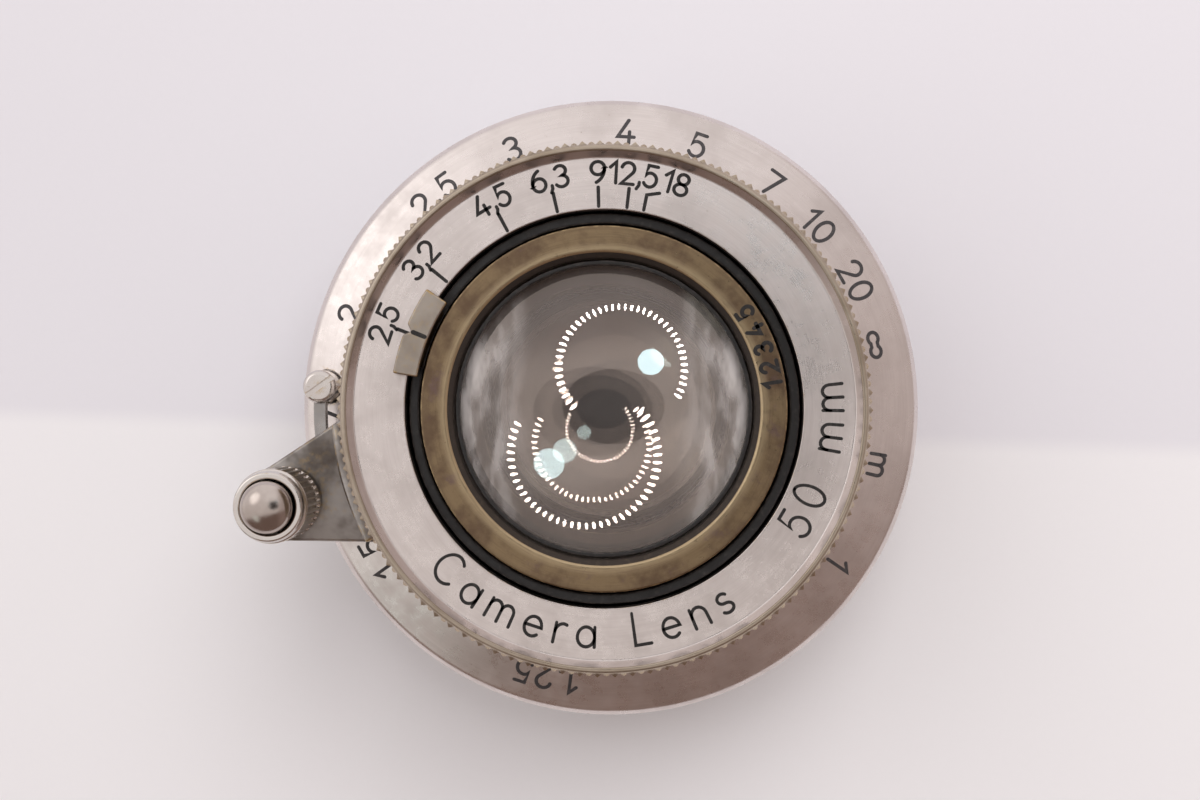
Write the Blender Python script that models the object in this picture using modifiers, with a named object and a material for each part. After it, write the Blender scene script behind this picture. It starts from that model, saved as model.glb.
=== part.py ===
"""Collapsible 50 mm standard lens with a 39 mm screw mount.

The frame's origin is on the lens axis, in the plane of the tube's rear rim, on which the collapsed
lens stands. +Z points out of the front. The lens is focused at infinity and at its widest aperture.
Angles are counter-clockwise from +X, seen from the front. Lengths in the constants are millimetres,
and heights count from the mount's seat face; MM turns them into metres.
"""

import math

import bmesh
import bpy
from mathutils import Matrix, Vector

MM = 0.001
COLLECTION_NAME = "collapsible_lens"

# Running clearances between turned pieces, and the gap between pieces that rest on each other.
RUNNING = 0.15
REST_GAP = 0.3
CUT_SPARE = 1.0

# Facets round the axis: large outer rings, other rings, glass and small round pieces.
OUTER_FACETS = 40
RING_FACETS = 32
GLASS_FACETS = 20
SMALL_FACETS = 12
POST_FACETS = 16
BLADE_PIN_FACETS = 8

# Camera mount.
THREAD_RADIUS = 19.5
THREAD_LENGTH = 4.5
SEAT_RADIUS = 22.6
SEAT_THICKNESS = 1.2
HELICOID_BORE = 18.05
SLEEVE_TOP = 3.4
KEYWAY_DEPTH = 0.9
KEYWAY_HALF = 1.2
KEYWAY_TOP = 2.3
FLANGE_RADIUS = 24.4
FLANGE_CHAMFER = 0.45
CONE_TOP = (19.8, 4.0)
CONE_RIM = (23.95, 2.75)
SCALE_SCREW_ORBIT = 21.2
SCALE_SCREW_ANGLES = (60.0, 180.0, 300.0)

# Focusing.
HELICOID_RADIUS = 17.9
HELICOID_INNER = 16.9
HELICOID_REAR = -6.0
CAM_REAR = -7.5
CAM_FRONT = -6.2
KEY_ANGLE = 270.0
KEY_OUTER = 18.68
KEY_FRONT = -1.0
HELICOID_SHOULDER = 19.2
COLLAR_RADIUS = 19.3
COLLAR_BOTTOM = 4.6
COLLAR_TOP = 9.3
COLLAR_BORE = 17.5
COLLAR_LIP = 16.2
COLLAR_FLOOR = 0.8
COVER_THICKNESS = 0.8
COVER_CHAMFER = 0.15
LEVER_ANGLE = 225.0
KNOB_ORBIT = 25.5
ARM_BOTTOM = 5.6
ARM_THICKNESS = 1.8
ARM_FOOT_RADIUS = 19.7
ARM_FOOT_HALF_ANGLE = 15.0
ARM_END_RADIUS = 3.0
FOOT_HALF_ANGLE = 13.0
FOOT_THICKNESS = 0.85
FOOT_TOP = 9.5
SLEEVE_RADIUS = 2.75
SLEEVE_RIM = 2.5
SLEEVE_BORE = 2.05
SLEEVE_BASE = 7.7
SLEEVE_FLOOR = 8.3
KNOB_TOP = 12.6
BUTTON_RADIUS = 1.92
BUTTON_BOTTOM = 10.3
BUTTON_TOP = 13.9
BUTTON_DOME = 0.9
STEM_RADIUS = 0.7
STEM_ROOM = 0.3
CATCH_ORBIT = 22.4
CATCH_ANGLE = 204.5
CATCH_RADIUS = 1.3
CATCH_BOTTOM = 2.2
CATCH_TOP = 6.0
CATCH_NOTCH = (3.4, 5.6)
CATCH_NOTCH_HALF = 0.7
FINGER_BOTTOM = 4.7
FINGER_TOP = 5.3
FINGER_BOSS = 1.5
FINGER_HALF_WIDTH = 0.5
SPRING_TURNS = 4
SPRING_STEPS = 9
SPRING_RADIUS = 1.35
SPRING_WIRE = 0.16
SPRING_ROOM = 0.25

# Barrel and head.
TUBE_RADIUS = 15.75
TUBE_INNER = 14.7
TUBE_REAR = -12.0
TUBE_FRONT = 5.0
GROOVE_WIDTH = 1.8
GROOVE_FLOOR = 15.2
GROOVE_ENDS = (-6.6, 9.6)
GUIDE_REAR = 7.2
GUIDE_KEY_HALF = 0.7
FELT = (5.6, 7.0)
LUG_RING = (-11.5, -9.5)
LUG_RADIUS = 16.6
HEAD_RADIUS = 16.5
SPIGOT_RADIUS = 14.4
SPIGOT_BORE = 13.6
SPIGOT_REAR = 3.3
IRIS_BORE = 14.8
WEB_INNER = 10.0
FRONT_RADIUS = 18.0
FRONT_REAR = 11.0
FRONT_TOP = 18.0
FACE_LEVEL = 17.3
FACE_THICKNESS = 1.0
FACE_INNER = 13.63
FACE_OUTER = 17.2
RIM_INNER = 17.75
HEAD_SCREW_ANGLES = (40.0, 160.0, 280.0)
HEAD_SCREW_LEVEL = 12.6

# Front cell: the visible brass ring, its body behind it, and the bore that holds the front glass.
CELL_RING = (12.54, 15.6, 17.5)
CELL_CHAMFER = 0.1
CELL_BODY = (11.7, 12.2)
CELL_NECK = (9.75, 10.05)
CELL_CLEAR = 8.9
CELL_LEDGE = 12.7
CELL_BORE = 10.35
CELL_BEVEL = (10.77, 16.9)

# Middle and rear cells.
CELL_FLANGE = 13.3
MIDDLE_FRONT = 6.1
MIDDLE_REAR = 1.2
MIDDLE_BORE = 9.2
REAR_FRONT = 0.9
REAR_REAR = -6.4
REAR_TUBE = 10.9
REAR_BORE = 9.8
CELL_FLANGE_THICKNESS = 0.9
LIP_DEPTH = 0.9
LIP_THICKNESS = 0.5

# The light baffle in the tube's rear, from its seat inwards.
BAFFLE_PROFILE = ((14.4, -10.4), (14.4, -11.2), (12.0, -11.2), (11.3, -10.4))

# Retaining rings: inner and outer radius, bottom and top.
RETAINING_RINGS = {
    "front_retaining_ring": (9.9, 10.2, 16.3, 16.8),
    "middle_retaining_ring": (8.2, 9.05, 1.35, 1.95),
    "rear_retaining_ring": (8.8, 9.65, 0.0, 0.6),
}

# Screws: head radius, head height, shank radius, shank length.
SCALE_SCREW = (0.95, 0.45, 0.5, 1.85)
LEVER_SCREW = (0.75, 0.3, 0.36, 1.8)
HEAD_SCREW = (0.6, 1.2, 0.36, 1.1)
SCALE_SCREW_SEAT = 0.55
LEVER_SCREW_OFFSETS = (-8.0, 8.0)
LEVER_SCREW_SEAT = 20.2
LEVER_SCREW_LEVEL = 8.4

# Iris.
BLADE_COUNT = 8
BASE_PLATE = (6.4, 6.9)
FIRST_BLADE = 7.1
BLADE_PITCH = 0.27
BLADE_THICKNESS = 0.13
ROTOR_PLATE = (9.35, 9.85)
WEB = (10.1, 10.7)
PLATE_INNER = 8.8
PLATE_OUTER = 14.5
PIVOT_ORBIT = 12.8
PIVOT_RADIUS = 0.3
DRIVE_RADIUS = 0.2
DRIVE_ARM = 2.7
OPEN_RADIUS = 8.7
CLOSED_RADIUS = 1.3
BLADE_OUTER = 11.5
BLADE_START = 8.0
BLADE_END = 132.0
BLADE_SINK = 0.03
APERTURE_TURN = 80.3
APERTURE_RING_INNER = (10.2, 12.8)
APERTURE_RING_STEP = 0.9
TAB_ANGLE = 186.7
TAB_HALF_ANGLE = 12.3
TAB_NOTCH_HALF_ANGLE = 1.6
TAB_RADII = (12.85, 14.55)
TAB_NOTCH_RADIUS = 14.1
TAB_HEIGHTS = (17.5, 18.0)
NECK_RADII = (12.87, 13.45)
NECK_HALF_ANGLE = 9.0
DRIVE_PIN_ORBIT = 11.0
DRIVE_PIN_RADIUS = 0.3
DRIVE_PIN_ROOM = 0.12
DRIVE_PIN_HEIGHTS = (9.4, 11.8)
WEB_SLOT_SPARE = 4.0

# Glass: clear radius, then the rim heights and the surface radii, front then rear, positive for a
# surface whose centre stands further forward than its rim.
ELEMENTS = {
    "front_outer_element": (10.2, 15.8, 35.0, 15.1, -45.0),
    "front_inner_element": (10.2, 14.95, -45.0, 12.95, 200.0),
    "middle_front_element": (9.0, 5.4, -60.0, 3.9, -45.0),
    "middle_rear_element": (9.0, 3.75, -45.0, 2.3, -90.0),
    "rear_inner_element": (9.6, -1.2, 70.0, -2.9, 50.0),
    "rear_outer_element": (9.6, -3.05, 50.0, -5.3, -60.0),
}

MATERIALS = {
    "nickel": ((0.55, 0.52, 0.49), 0.32, 1.0),
    "worn_nickel": ((0.42, 0.38, 0.34), 0.45, 1.0),
    "brass": ((0.60, 0.42, 0.20), 0.38, 1.0),
    "steel": ((0.50, 0.50, 0.50), 0.30, 1.0),
    "black_paint": ((0.02, 0.02, 0.02), 0.50, 0.0),
    "blued_steel": ((0.06, 0.06, 0.08), 0.35, 1.0),
    "felt": ((0.08, 0.07, 0.06), 0.95, 0.0),
    "glass": ((0.80, 0.85, 0.85), 0.05, 0.0),
}


def clear_scene():
    for thing in list(bpy.data.objects):
        bpy.data.objects.remove(thing, do_unlink=True)


def new_collection(name):
    collection = bpy.data.collections.new(name)
    bpy.context.scene.collection.children.link(collection)
    return collection


def make_material(name):
    colour, roughness, metallic = MATERIALS[name]
    material = bpy.data.materials.new(name)
    material.use_nodes = True
    shader = material.node_tree.nodes["Principled BSDF"]
    shader.inputs["Base Color"].default_value = (*colour, 1.0)
    shader.inputs["Roughness"].default_value = roughness
    shader.inputs["Metallic"].default_value = metallic
    return material


def polar(radius, degrees, height=0.0):
    """The point at this radius, angle and height, all but the angle in millimetres, in metres."""
    angle = math.radians(degrees)
    return Vector((radius * math.cos(angle), radius * math.sin(angle), height)) * MM


def add_object(name, data, collection, material_name=None):
    thing = bpy.data.objects.new(name, data)
    collection.objects.link(thing)
    thing.parent = seat_centre
    if material_name:
        data.materials.append(bpy.data.materials[material_name])
    return thing


def as_cutter(thing):
    for owner in list(thing.users_collection):
        owner.objects.unlink(thing)
    cutters.objects.link(thing)
    thing.hide_render = True
    thing.display_type = "WIRE"
    return thing


def boolean(thing, other, operation="DIFFERENCE"):
    modifier = thing.modifiers.new(f"{operation.lower()}_{other.name}", "BOOLEAN")
    modifier.operation = operation
    modifier.object = other
    modifier.solver = "EXACT"
    return thing


def smooth(thing, sharp_degrees=30.0):
    thing.data.shade_smooth()
    thing.data.set_sharp_from_angle(angle=math.radians(sharp_degrees))
    return thing


def turned(name, profile, material_name, facets=RING_FACETS, location=(0.0, 0.0, 0.0), closed=True):
    """A turned piece: its half profile, in (radius, height), swept round Z by a Screw modifier."""
    mesh = bpy.data.meshes.new(name)
    points = [(radius * MM, 0.0, height * MM) for radius, height in profile]
    count = len(points)
    edges = [(i, (i + 1) % count) for i in range(count if closed else count - 1)]
    mesh.from_pydata(points, edges, [])
    thing = add_object(name, mesh, parts, material_name)
    thing.location = location
    sweep = thing.modifiers.new("sweep", "SCREW")
    sweep.axis = "Z"
    sweep.steps = facets
    sweep.render_steps = facets
    sweep.use_merge_vertices = True
    sweep.merge_threshold = 1e-6
    sweep.use_smooth_shade = True
    return thing


def cylinder(name, radius, bottom, top, centre, facets=SMALL_FACETS, material_name=None):
    """An upright cylinder between two heights, with centre giving its radius and angle from Z."""
    mesh = bpy.data.meshes.new(name)
    shape = bmesh.new()
    bmesh.ops.create_cone(
        shape,
        cap_ends=True,
        segments=facets,
        radius1=radius * MM,
        radius2=radius * MM,
        depth=(top - bottom) * MM,
    )
    shape.to_mesh(mesh)
    shape.free()
    thing = add_object(name, mesh, parts, material_name)
    thing.location = polar(centre[0], centre[1], (bottom + top) / 2)
    thing.rotation_euler = (0.0, 0.0, math.radians(centre[1]))
    return thing


def block(name, radial, half_width, heights, degrees):
    """A box between two radii and two heights, half_width to each side of the ray at this angle."""
    mesh = bpy.data.meshes.new(name)
    shape = bmesh.new()
    size = (radial[1] - radial[0], 2 * half_width, heights[1] - heights[0])
    middle = ((radial[0] + radial[1]) / 2, 0.0, (heights[0] + heights[1]) / 2)
    place = Matrix.Translation(Vector(middle) * MM) @ Matrix.Diagonal((*(s * MM for s in size), 1.0))
    bmesh.ops.create_cube(shape, size=1.0, matrix=place)
    shape.to_mesh(mesh)
    shape.free()
    thing = add_object(name, mesh, parts)
    thing.rotation_euler = (0.0, 0.0, math.radians(degrees))
    return thing


def arc(radius, first, last, steps, centre=(0.0, 0.0)):
    """Points along an arc about centre, both ends included."""
    turns = [math.radians(first + (last - first) * i / steps) for i in range(steps + 1)]
    return [(centre[0] + radius * math.cos(t), centre[1] + radius * math.sin(t)) for t in turns]


def circle(radius, steps, centre=(0.0, 0.0)):
    return arc(radius, 0.0, 360.0 * (steps - 1) / steps, steps - 1, centre)


def turn(points, degrees):
    c = math.cos(math.radians(degrees))
    s = math.sin(math.radians(degrees))
    return [(x * c - y * s, x * s + y * c) for x, y in points]


def flat_plate(name, outlines, heights, material_name=None):
    """A flat piece from closed outlines, the first its edge and the others its holes, as a mesh."""
    curve = bpy.data.curves.new(name + "_outline", "CURVE")
    curve.dimensions = "2D"
    curve.fill_mode = "BOTH"
    curve.extrude = (heights[1] - heights[0]) / 2 * MM
    for outline in outlines:
        spline = curve.splines.new("POLY")
        spline.points.add(len(outline) - 1)
        for point, (x, y) in zip(spline.points, outline):
            point.co = (x * MM, y * MM, 0.0, 1.0)
        spline.use_cyclic_u = True
    guide = add_object(name + "_outline", curve, parts)
    guide.location = (0.0, 0.0, (heights[0] + heights[1]) / 2 * MM)
    return curve_to_mesh(guide, name, material_name)


def curve_to_mesh(guide, name, material_name=None):
    bpy.context.view_layer.update()
    graph = bpy.context.evaluated_depsgraph_get()
    mesh = bpy.data.meshes.new_from_object(guide.evaluated_get(graph))
    mesh.name = name
    shape = bmesh.new()
    shape.from_mesh(mesh)
    bmesh.ops.remove_doubles(shape, verts=shape.verts, dist=1e-7)
    bmesh.ops.recalc_face_normals(shape, faces=shape.faces)
    shape.to_mesh(mesh)
    shape.free()
    thing = add_object(name, mesh, parts, material_name)
    thing.location = guide.location
    bpy.data.objects.remove(guide, do_unlink=True)
    return thing


def screw_profile(head_radius, head_height, shank_radius, shank_length):
    """Half profile of a screw whose head sits on height 0, with its shank down from there."""
    return [
        (0.0, head_height),
        (head_radius, head_height),
        (head_radius, 0.0),
        (shank_radius, 0.0),
        (shank_radius, -shank_length),
        (0.0, -shank_length),
    ]


def radial_drill(name, radius, inner, outer, degrees, height):
    """A round cutter along the ray at this angle and height, between two radii."""
    drill = cylinder(name, radius, 0.0, outer - inner, (0.0, 0.0))
    return as_cutter(lay_radially(drill, (inner + outer) / 2, degrees, height))


def set_origin(thing, point):
    """Moves an unscaled, unturned mesh object's origin to a world point and leaves its shape in place."""
    shift = Vector(point) - thing.location
    thing.data.transform(Matrix.Translation(-shift))
    thing.location = point
    return thing


# ---------------------------------------------------------------- mount


def make_mount_base():
    profile = [
        (THREAD_RADIUS, SLEEVE_TOP),
        (THREAD_RADIUS, SEAT_THICKNESS),
        (SEAT_RADIUS, SEAT_THICKNESS),
        (SEAT_RADIUS, 0.0),
        (THREAD_RADIUS, 0.0),
        (THREAD_RADIUS, -THREAD_LENGTH),
        (HELICOID_BORE, -THREAD_LENGTH),
        (HELICOID_BORE, SLEEVE_TOP),
    ]
    base = turned("mount_base", profile, "nickel", OUTER_FACETS)
    keyway_radii = (HELICOID_RADIUS, HELICOID_BORE + KEYWAY_DEPTH)
    keyway_heights = (-THREAD_LENGTH - CUT_SPARE, KEYWAY_TOP)
    boolean(base, as_cutter(block("cut_keyway", keyway_radii, KEYWAY_HALF, keyway_heights, KEY_ANGLE)))
    head, _, shank, _ = SCALE_SCREW
    for number, angle in enumerate(SCALE_SCREW_ANGLES, 1):
        place = (SCALE_SCREW_ORBIT, angle)
        sink_heights = (-CUT_SPARE, SCALE_SCREW_SEAT + RUNNING)
        hole_heights = (-CUT_SPARE, SEAT_THICKNESS + CUT_SPARE)
        sink = cylinder(f"cut_screw_head_{number}", head + RUNNING, *sink_heights, place)
        hole = cylinder(f"cut_screw_hole_{number}", shank + 0.2, *hole_heights, place)
        boolean(base, as_cutter(sink))
        boolean(base, as_cutter(hole))


def make_distance_scale_ring():
    profile = [
        CONE_RIM,
        (FLANGE_RADIUS, CONE_RIM[1] - FLANGE_CHAMFER),
        (FLANGE_RADIUS, REST_GAP),
        (SEAT_RADIUS + REST_GAP, REST_GAP),
        (SEAT_RADIUS + REST_GAP, SEAT_THICKNESS + REST_GAP),
        (CONE_TOP[0], SEAT_THICKNESS + REST_GAP),
        CONE_TOP,
    ]
    ring = turned("distance_scale_ring", profile, "nickel", OUTER_FACETS)
    for number, angle in enumerate(SCALE_SCREW_ANGLES, 1):
        place = (SCALE_SCREW_ORBIT, angle)
        depths = (SEAT_THICKNESS, SCALE_SCREW_SEAT + SCALE_SCREW[3] + 0.2)
        boolean(ring, as_cutter(cylinder(f"cut_scale_hole_{number}", SCALE_SCREW[2] + 0.2, *depths, place)))
    place = (CATCH_ORBIT, CATCH_ANGLE)
    depths = (CATCH_BOTTOM - 0.2, CONE_TOP[1] + CUT_SPARE)
    seat = cylinder("cut_catch_seat", CATCH_RADIUS + RUNNING, *depths, place, POST_FACETS)
    boolean(ring, as_cutter(seat))


def make_scale_ring_screws():
    """The screws that hold the scale ring from behind, with their heads down in the seat's face."""
    profile = screw_profile(*SCALE_SCREW)
    for number, angle in enumerate(SCALE_SCREW_ANGLES, 1):
        place = polar(SCALE_SCREW_ORBIT, angle, SCALE_SCREW_SEAT)
        screw = turned(f"scale_ring_screw_{number}", profile, "steel", SMALL_FACETS, place, closed=False)
        screw.rotation_euler = (math.pi, 0.0, math.radians(angle))


def make_infinity_catch():
    """A round post with a notch, open towards the lever, that the lock finger rests in."""
    centre = (CATCH_ORBIT, CATCH_ANGLE)
    catch = cylinder("infinity_catch", CATCH_RADIUS, CATCH_BOTTOM, CATCH_TOP, centre, POST_FACETS, "nickel")
    across = (-CATCH_NOTCH_HALF, CATCH_NOTCH_HALF)
    notch = block("cut_notch", across, CUT_SPARE, CATCH_NOTCH, CATCH_ANGLE)
    notch.location = polar(CATCH_ORBIT, CATCH_ANGLE) + polar(CUT_SPARE, CATCH_ANGLE + 90.0)
    boolean(catch, as_cutter(notch))


# ---------------------------------------------------------------- focusing


def make_cam_ring():
    profile = [
        (HELICOID_RADIUS, CAM_FRONT),
        (HELICOID_RADIUS, CAM_REAR),
        (HELICOID_INNER, CAM_REAR),
        (HELICOID_INNER, CAM_FRONT),
    ]
    ring = turned("rangefinder_cam_ring", profile, "steel")
    middle = (HELICOID_INNER + HELICOID_RADIUS) / 2
    foot_heights = (CAM_REAR + 0.1, CAM_FRONT - 0.1)
    foot = block("join_key_foot", (middle, KEY_OUTER + 0.02), 1.0, foot_heights, KEY_ANGLE)
    tongue_heights = (CAM_REAR + 0.2, KEY_FRONT)
    tongue = block("join_key_tongue", (HELICOID_BORE, KEY_OUTER), 0.95, tongue_heights, KEY_ANGLE)
    boolean(ring, as_cutter(foot), "UNION")
    boolean(ring, as_cutter(tongue), "UNION")


def make_inner_helicoid():
    profile = [
        (HELICOID_SHOULDER, COLLAR_BOTTOM - REST_GAP),
        (HELICOID_SHOULDER, SLEEVE_TOP + REST_GAP),
        (HELICOID_RADIUS, SLEEVE_TOP + REST_GAP),
        (HELICOID_RADIUS, HELICOID_REAR),
        (HELICOID_INNER, HELICOID_REAR),
        (HELICOID_INNER, COLLAR_BOTTOM - REST_GAP),
    ]
    turned("inner_helicoid", profile, "brass")


def make_focus_collar():
    profile = [
        (COLLAR_RADIUS, COLLAR_TOP),
        (COLLAR_RADIUS, COLLAR_BOTTOM),
        (COLLAR_LIP, COLLAR_BOTTOM),
        (COLLAR_LIP, COLLAR_BOTTOM + COLLAR_FLOOR),
        (COLLAR_BORE, COLLAR_BOTTOM + COLLAR_FLOOR),
        (COLLAR_BORE, COLLAR_TOP),
    ]
    collar = turned("focus_collar", profile, "nickel", OUTER_FACETS)
    for number, offset in enumerate(LEVER_SCREW_OFFSETS, 1):
        depths = (LEVER_SCREW_SEAT - LEVER_SCREW[3] - REST_GAP, COLLAR_RADIUS + CUT_SPARE)
        place = (LEVER_ANGLE + offset, LEVER_SCREW_LEVEL)
        boolean(collar, radial_drill(f"cut_collar_hole_{number}", LEVER_SCREW[2] + RUNNING, *depths, *place))


def make_collar_cover_ring():
    bottom = COLLAR_TOP + REST_GAP
    top = bottom + COVER_THICKNESS
    profile = [
        (COLLAR_RADIUS - COVER_CHAMFER, top),
        (COLLAR_RADIUS, top - COVER_CHAMFER),
        (COLLAR_RADIUS, bottom),
        (COLLAR_LIP, bottom),
        (COLLAR_LIP, top),
    ]
    turned("collar_cover_ring", profile, "nickel", OUTER_FACETS)


def lay_radially(thing, radius, degrees, height):
    """Lays an upright piece on its side, so that its top points out along the ray at this angle."""
    thing.location = polar(radius, degrees, height)
    thing.rotation_euler = (0.0, math.radians(90.0), math.radians(degrees))
    return thing


def make_focus_lever():
    """The tapered arm with an upright foot that hugs the collar, and a hole for the button's stem."""
    inner = arc(ARM_FOOT_RADIUS, ARM_FOOT_HALF_ANGLE, -ARM_FOOT_HALF_ANGLE, 8)
    end = arc(ARM_END_RADIUS, -80.0, 80.0, 10, (KNOB_ORBIT, 0.0))
    stem_hole = circle(STEM_RADIUS + STEM_ROOM, SMALL_FACETS, (KNOB_ORBIT, 0.0))
    outlines = [turn(inner + end, LEVER_ANGLE), turn(stem_hole, LEVER_ANGLE)]
    arm_top = ARM_BOTTOM + ARM_THICKNESS
    lever = flat_plate("focus_lever", outlines, (ARM_BOTTOM, arm_top), "worn_nickel")
    outer_foot = arc(ARM_FOOT_RADIUS + FOOT_THICKNESS, -FOOT_HALF_ANGLE, FOOT_HALF_ANGLE, 8)
    inner_foot = arc(ARM_FOOT_RADIUS + 0.02, FOOT_HALF_ANGLE, -FOOT_HALF_ANGLE, 8)
    foot_shape = [turn(outer_foot + inner_foot, LEVER_ANGLE)]
    foot = flat_plate("join_foot", foot_shape, (arm_top - 0.5, FOOT_TOP))
    boolean(lever, as_cutter(foot), "UNION")
    outside = ARM_FOOT_RADIUS + FOOT_THICKNESS + CUT_SPARE
    for number, offset in enumerate(LEVER_SCREW_OFFSETS, 1):
        place = (LEVER_ANGLE + offset, LEVER_SCREW_LEVEL)
        shank = (LEVER_SCREW[2] + RUNNING, ARM_FOOT_RADIUS - CUT_SPARE, outside)
        head = (LEVER_SCREW[0] + RUNNING, LEVER_SCREW_SEAT - RUNNING, outside)
        boolean(lever, radial_drill(f"cut_foot_hole_{number}", *shank, *place))
        boolean(lever, radial_drill(f"cut_foot_sink_{number}", *head, *place))


def make_lever_screws():
    profile = screw_profile(*LEVER_SCREW)
    for number, offset in enumerate(LEVER_SCREW_OFFSETS, 1):
        screw = turned(f"lever_screw_{number}", profile, "steel", SMALL_FACETS, closed=False)
        lay_radially(screw, LEVER_SCREW_SEAT, LEVER_ANGLE + offset, LEVER_SCREW_LEVEL)


def make_knob_sleeve():
    profile = [
        (SLEEVE_RIM, KNOB_TOP),
        (SLEEVE_RADIUS, KNOB_TOP - 0.5),
        (SLEEVE_RADIUS, SLEEVE_BASE),
        (STEM_RADIUS + STEM_ROOM, SLEEVE_BASE),
        (STEM_RADIUS + STEM_ROOM, SLEEVE_FLOOR),
        (SLEEVE_BORE, SLEEVE_FLOOR),
        (SLEEVE_BORE, KNOB_TOP),
    ]
    turned("knob_sleeve", profile, "nickel", GLASS_FACETS, polar(KNOB_ORBIT, LEVER_ANGLE))


def make_lock_button():
    """The domed button, with the stem that runs down through the sleeve and the arm."""
    dome = [
        (BUTTON_RADIUS * math.sin(t), BUTTON_TOP - BUTTON_DOME * (1 - math.cos(t)))
        for t in (math.radians(22.5 * i) for i in range(5))
    ]
    profile = dome + [
        (BUTTON_RADIUS, BUTTON_BOTTOM),
        (STEM_RADIUS, BUTTON_BOTTOM),
        (STEM_RADIUS, FINGER_BOTTOM - REST_GAP),
        (0.0, FINGER_BOTTOM - REST_GAP),
    ]
    place = polar(KNOB_ORBIT, LEVER_ANGLE)
    turned("lock_button", profile, "nickel", GLASS_FACETS, place, closed=False)


def make_lock_finger():
    """A flat hook: a boss on the stem, a bar inwards over the flange, and a tip in the catch's notch."""
    boss = arc(FINGER_BOSS, -150.0, 150.0, 12, (KNOB_ORBIT, 0.0))
    inner_radius = CATCH_ORBIT - FINGER_HALF_WIDTH
    outer_radius = CATCH_ORBIT + FINGER_HALF_WIDTH
    tip_start = CATCH_ANGLE + 2.5 - LEVER_ANGLE
    tip_inner = arc(inner_radius, 2.0, tip_start, 6)
    tip_outer = arc(outer_radius, tip_start, -2.0, 6)
    outline = boss + [polar_pair(outer_radius, 2.0)] + tip_inner + tip_outer
    stem_hole = circle(STEM_RADIUS + RUNNING, SMALL_FACETS, (KNOB_ORBIT, 0.0))
    shapes = [turn(outline, LEVER_ANGLE), turn(stem_hole, LEVER_ANGLE)]
    flat_plate("lock_finger", shapes, (FINGER_BOTTOM, FINGER_TOP), "steel")


def make_button_spring():
    bottom = SLEEVE_FLOOR + SPRING_ROOM
    top = BUTTON_BOTTOM - SPRING_ROOM
    curve = bpy.data.curves.new("button_spring_path", "CURVE")
    curve.dimensions = "3D"
    curve.bevel_depth = SPRING_WIRE * MM
    curve.bevel_resolution = 1
    curve.use_fill_caps = True
    spline = curve.splines.new("POLY")
    last = SPRING_TURNS * SPRING_STEPS
    spline.points.add(last)
    for i, point in enumerate(spline.points):
        height = bottom + (top - bottom) * i / last
        place = polar(SPRING_RADIUS, 360.0 * i / SPRING_STEPS, height)
        point.co = (*place, 1.0)
    guide = add_object("button_spring_path", curve, parts)
    guide.location = polar(KNOB_ORBIT, LEVER_ANGLE)
    smooth(curve_to_mesh(guide, "button_spring", "steel"))


# ---------------------------------------------------------------- barrel


def make_guide_ring():
    outer = COLLAR_BORE - 0.2
    inner = TUBE_RADIUS + RUNNING
    ring = turned(
        "barrel_guide_ring",
        [(outer, COLLAR_TOP), (outer, GUIDE_REAR), (inner, GUIDE_REAR), (inner, COLLAR_TOP)],
        "brass",
    )
    key_heights = (GUIDE_REAR + 0.1, COLLAR_TOP - 0.1)
    key_radii = (GROOVE_FLOOR + RUNNING, (inner + outer) / 2)
    key = block("join_guide_key", key_radii, GUIDE_KEY_HALF, key_heights, KEY_ANGLE)
    boolean(ring, as_cutter(key), "UNION")


def make_felt_seal():
    outer = COLLAR_BORE - 0.2
    inner = TUBE_RADIUS + RUNNING
    bottom, top = FELT
    turned("felt_seal", [(outer, top), (outer, bottom), (inner, bottom), (inner, top)], "felt")


def groove_cutter(name):
    """The straight groove along the barrel that the guide ring's key runs in."""
    cutter = block(name, (GROOVE_FLOOR, TUBE_RADIUS + 0.25), GROOVE_WIDTH / 2, GROOVE_ENDS, KEY_ANGLE)
    return as_cutter(cutter)


def make_barrel_tube():
    profile = [
        (TUBE_RADIUS, TUBE_FRONT),
        (TUBE_RADIUS, TUBE_REAR),
        (TUBE_INNER, TUBE_REAR),
        (TUBE_INNER, TUBE_FRONT),
    ]
    boolean(turned("barrel_tube", profile, "nickel"), groove_cutter("cut_tube_groove"))


def make_bayonet_lug_ring():
    inner = TUBE_RADIUS + RUNNING
    bottom, top = LUG_RING
    profile = [(LUG_RADIUS, top), (LUG_RADIUS, bottom), (inner, bottom), (inner, top)]
    turned("bayonet_lug_ring", profile, "brass")


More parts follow.
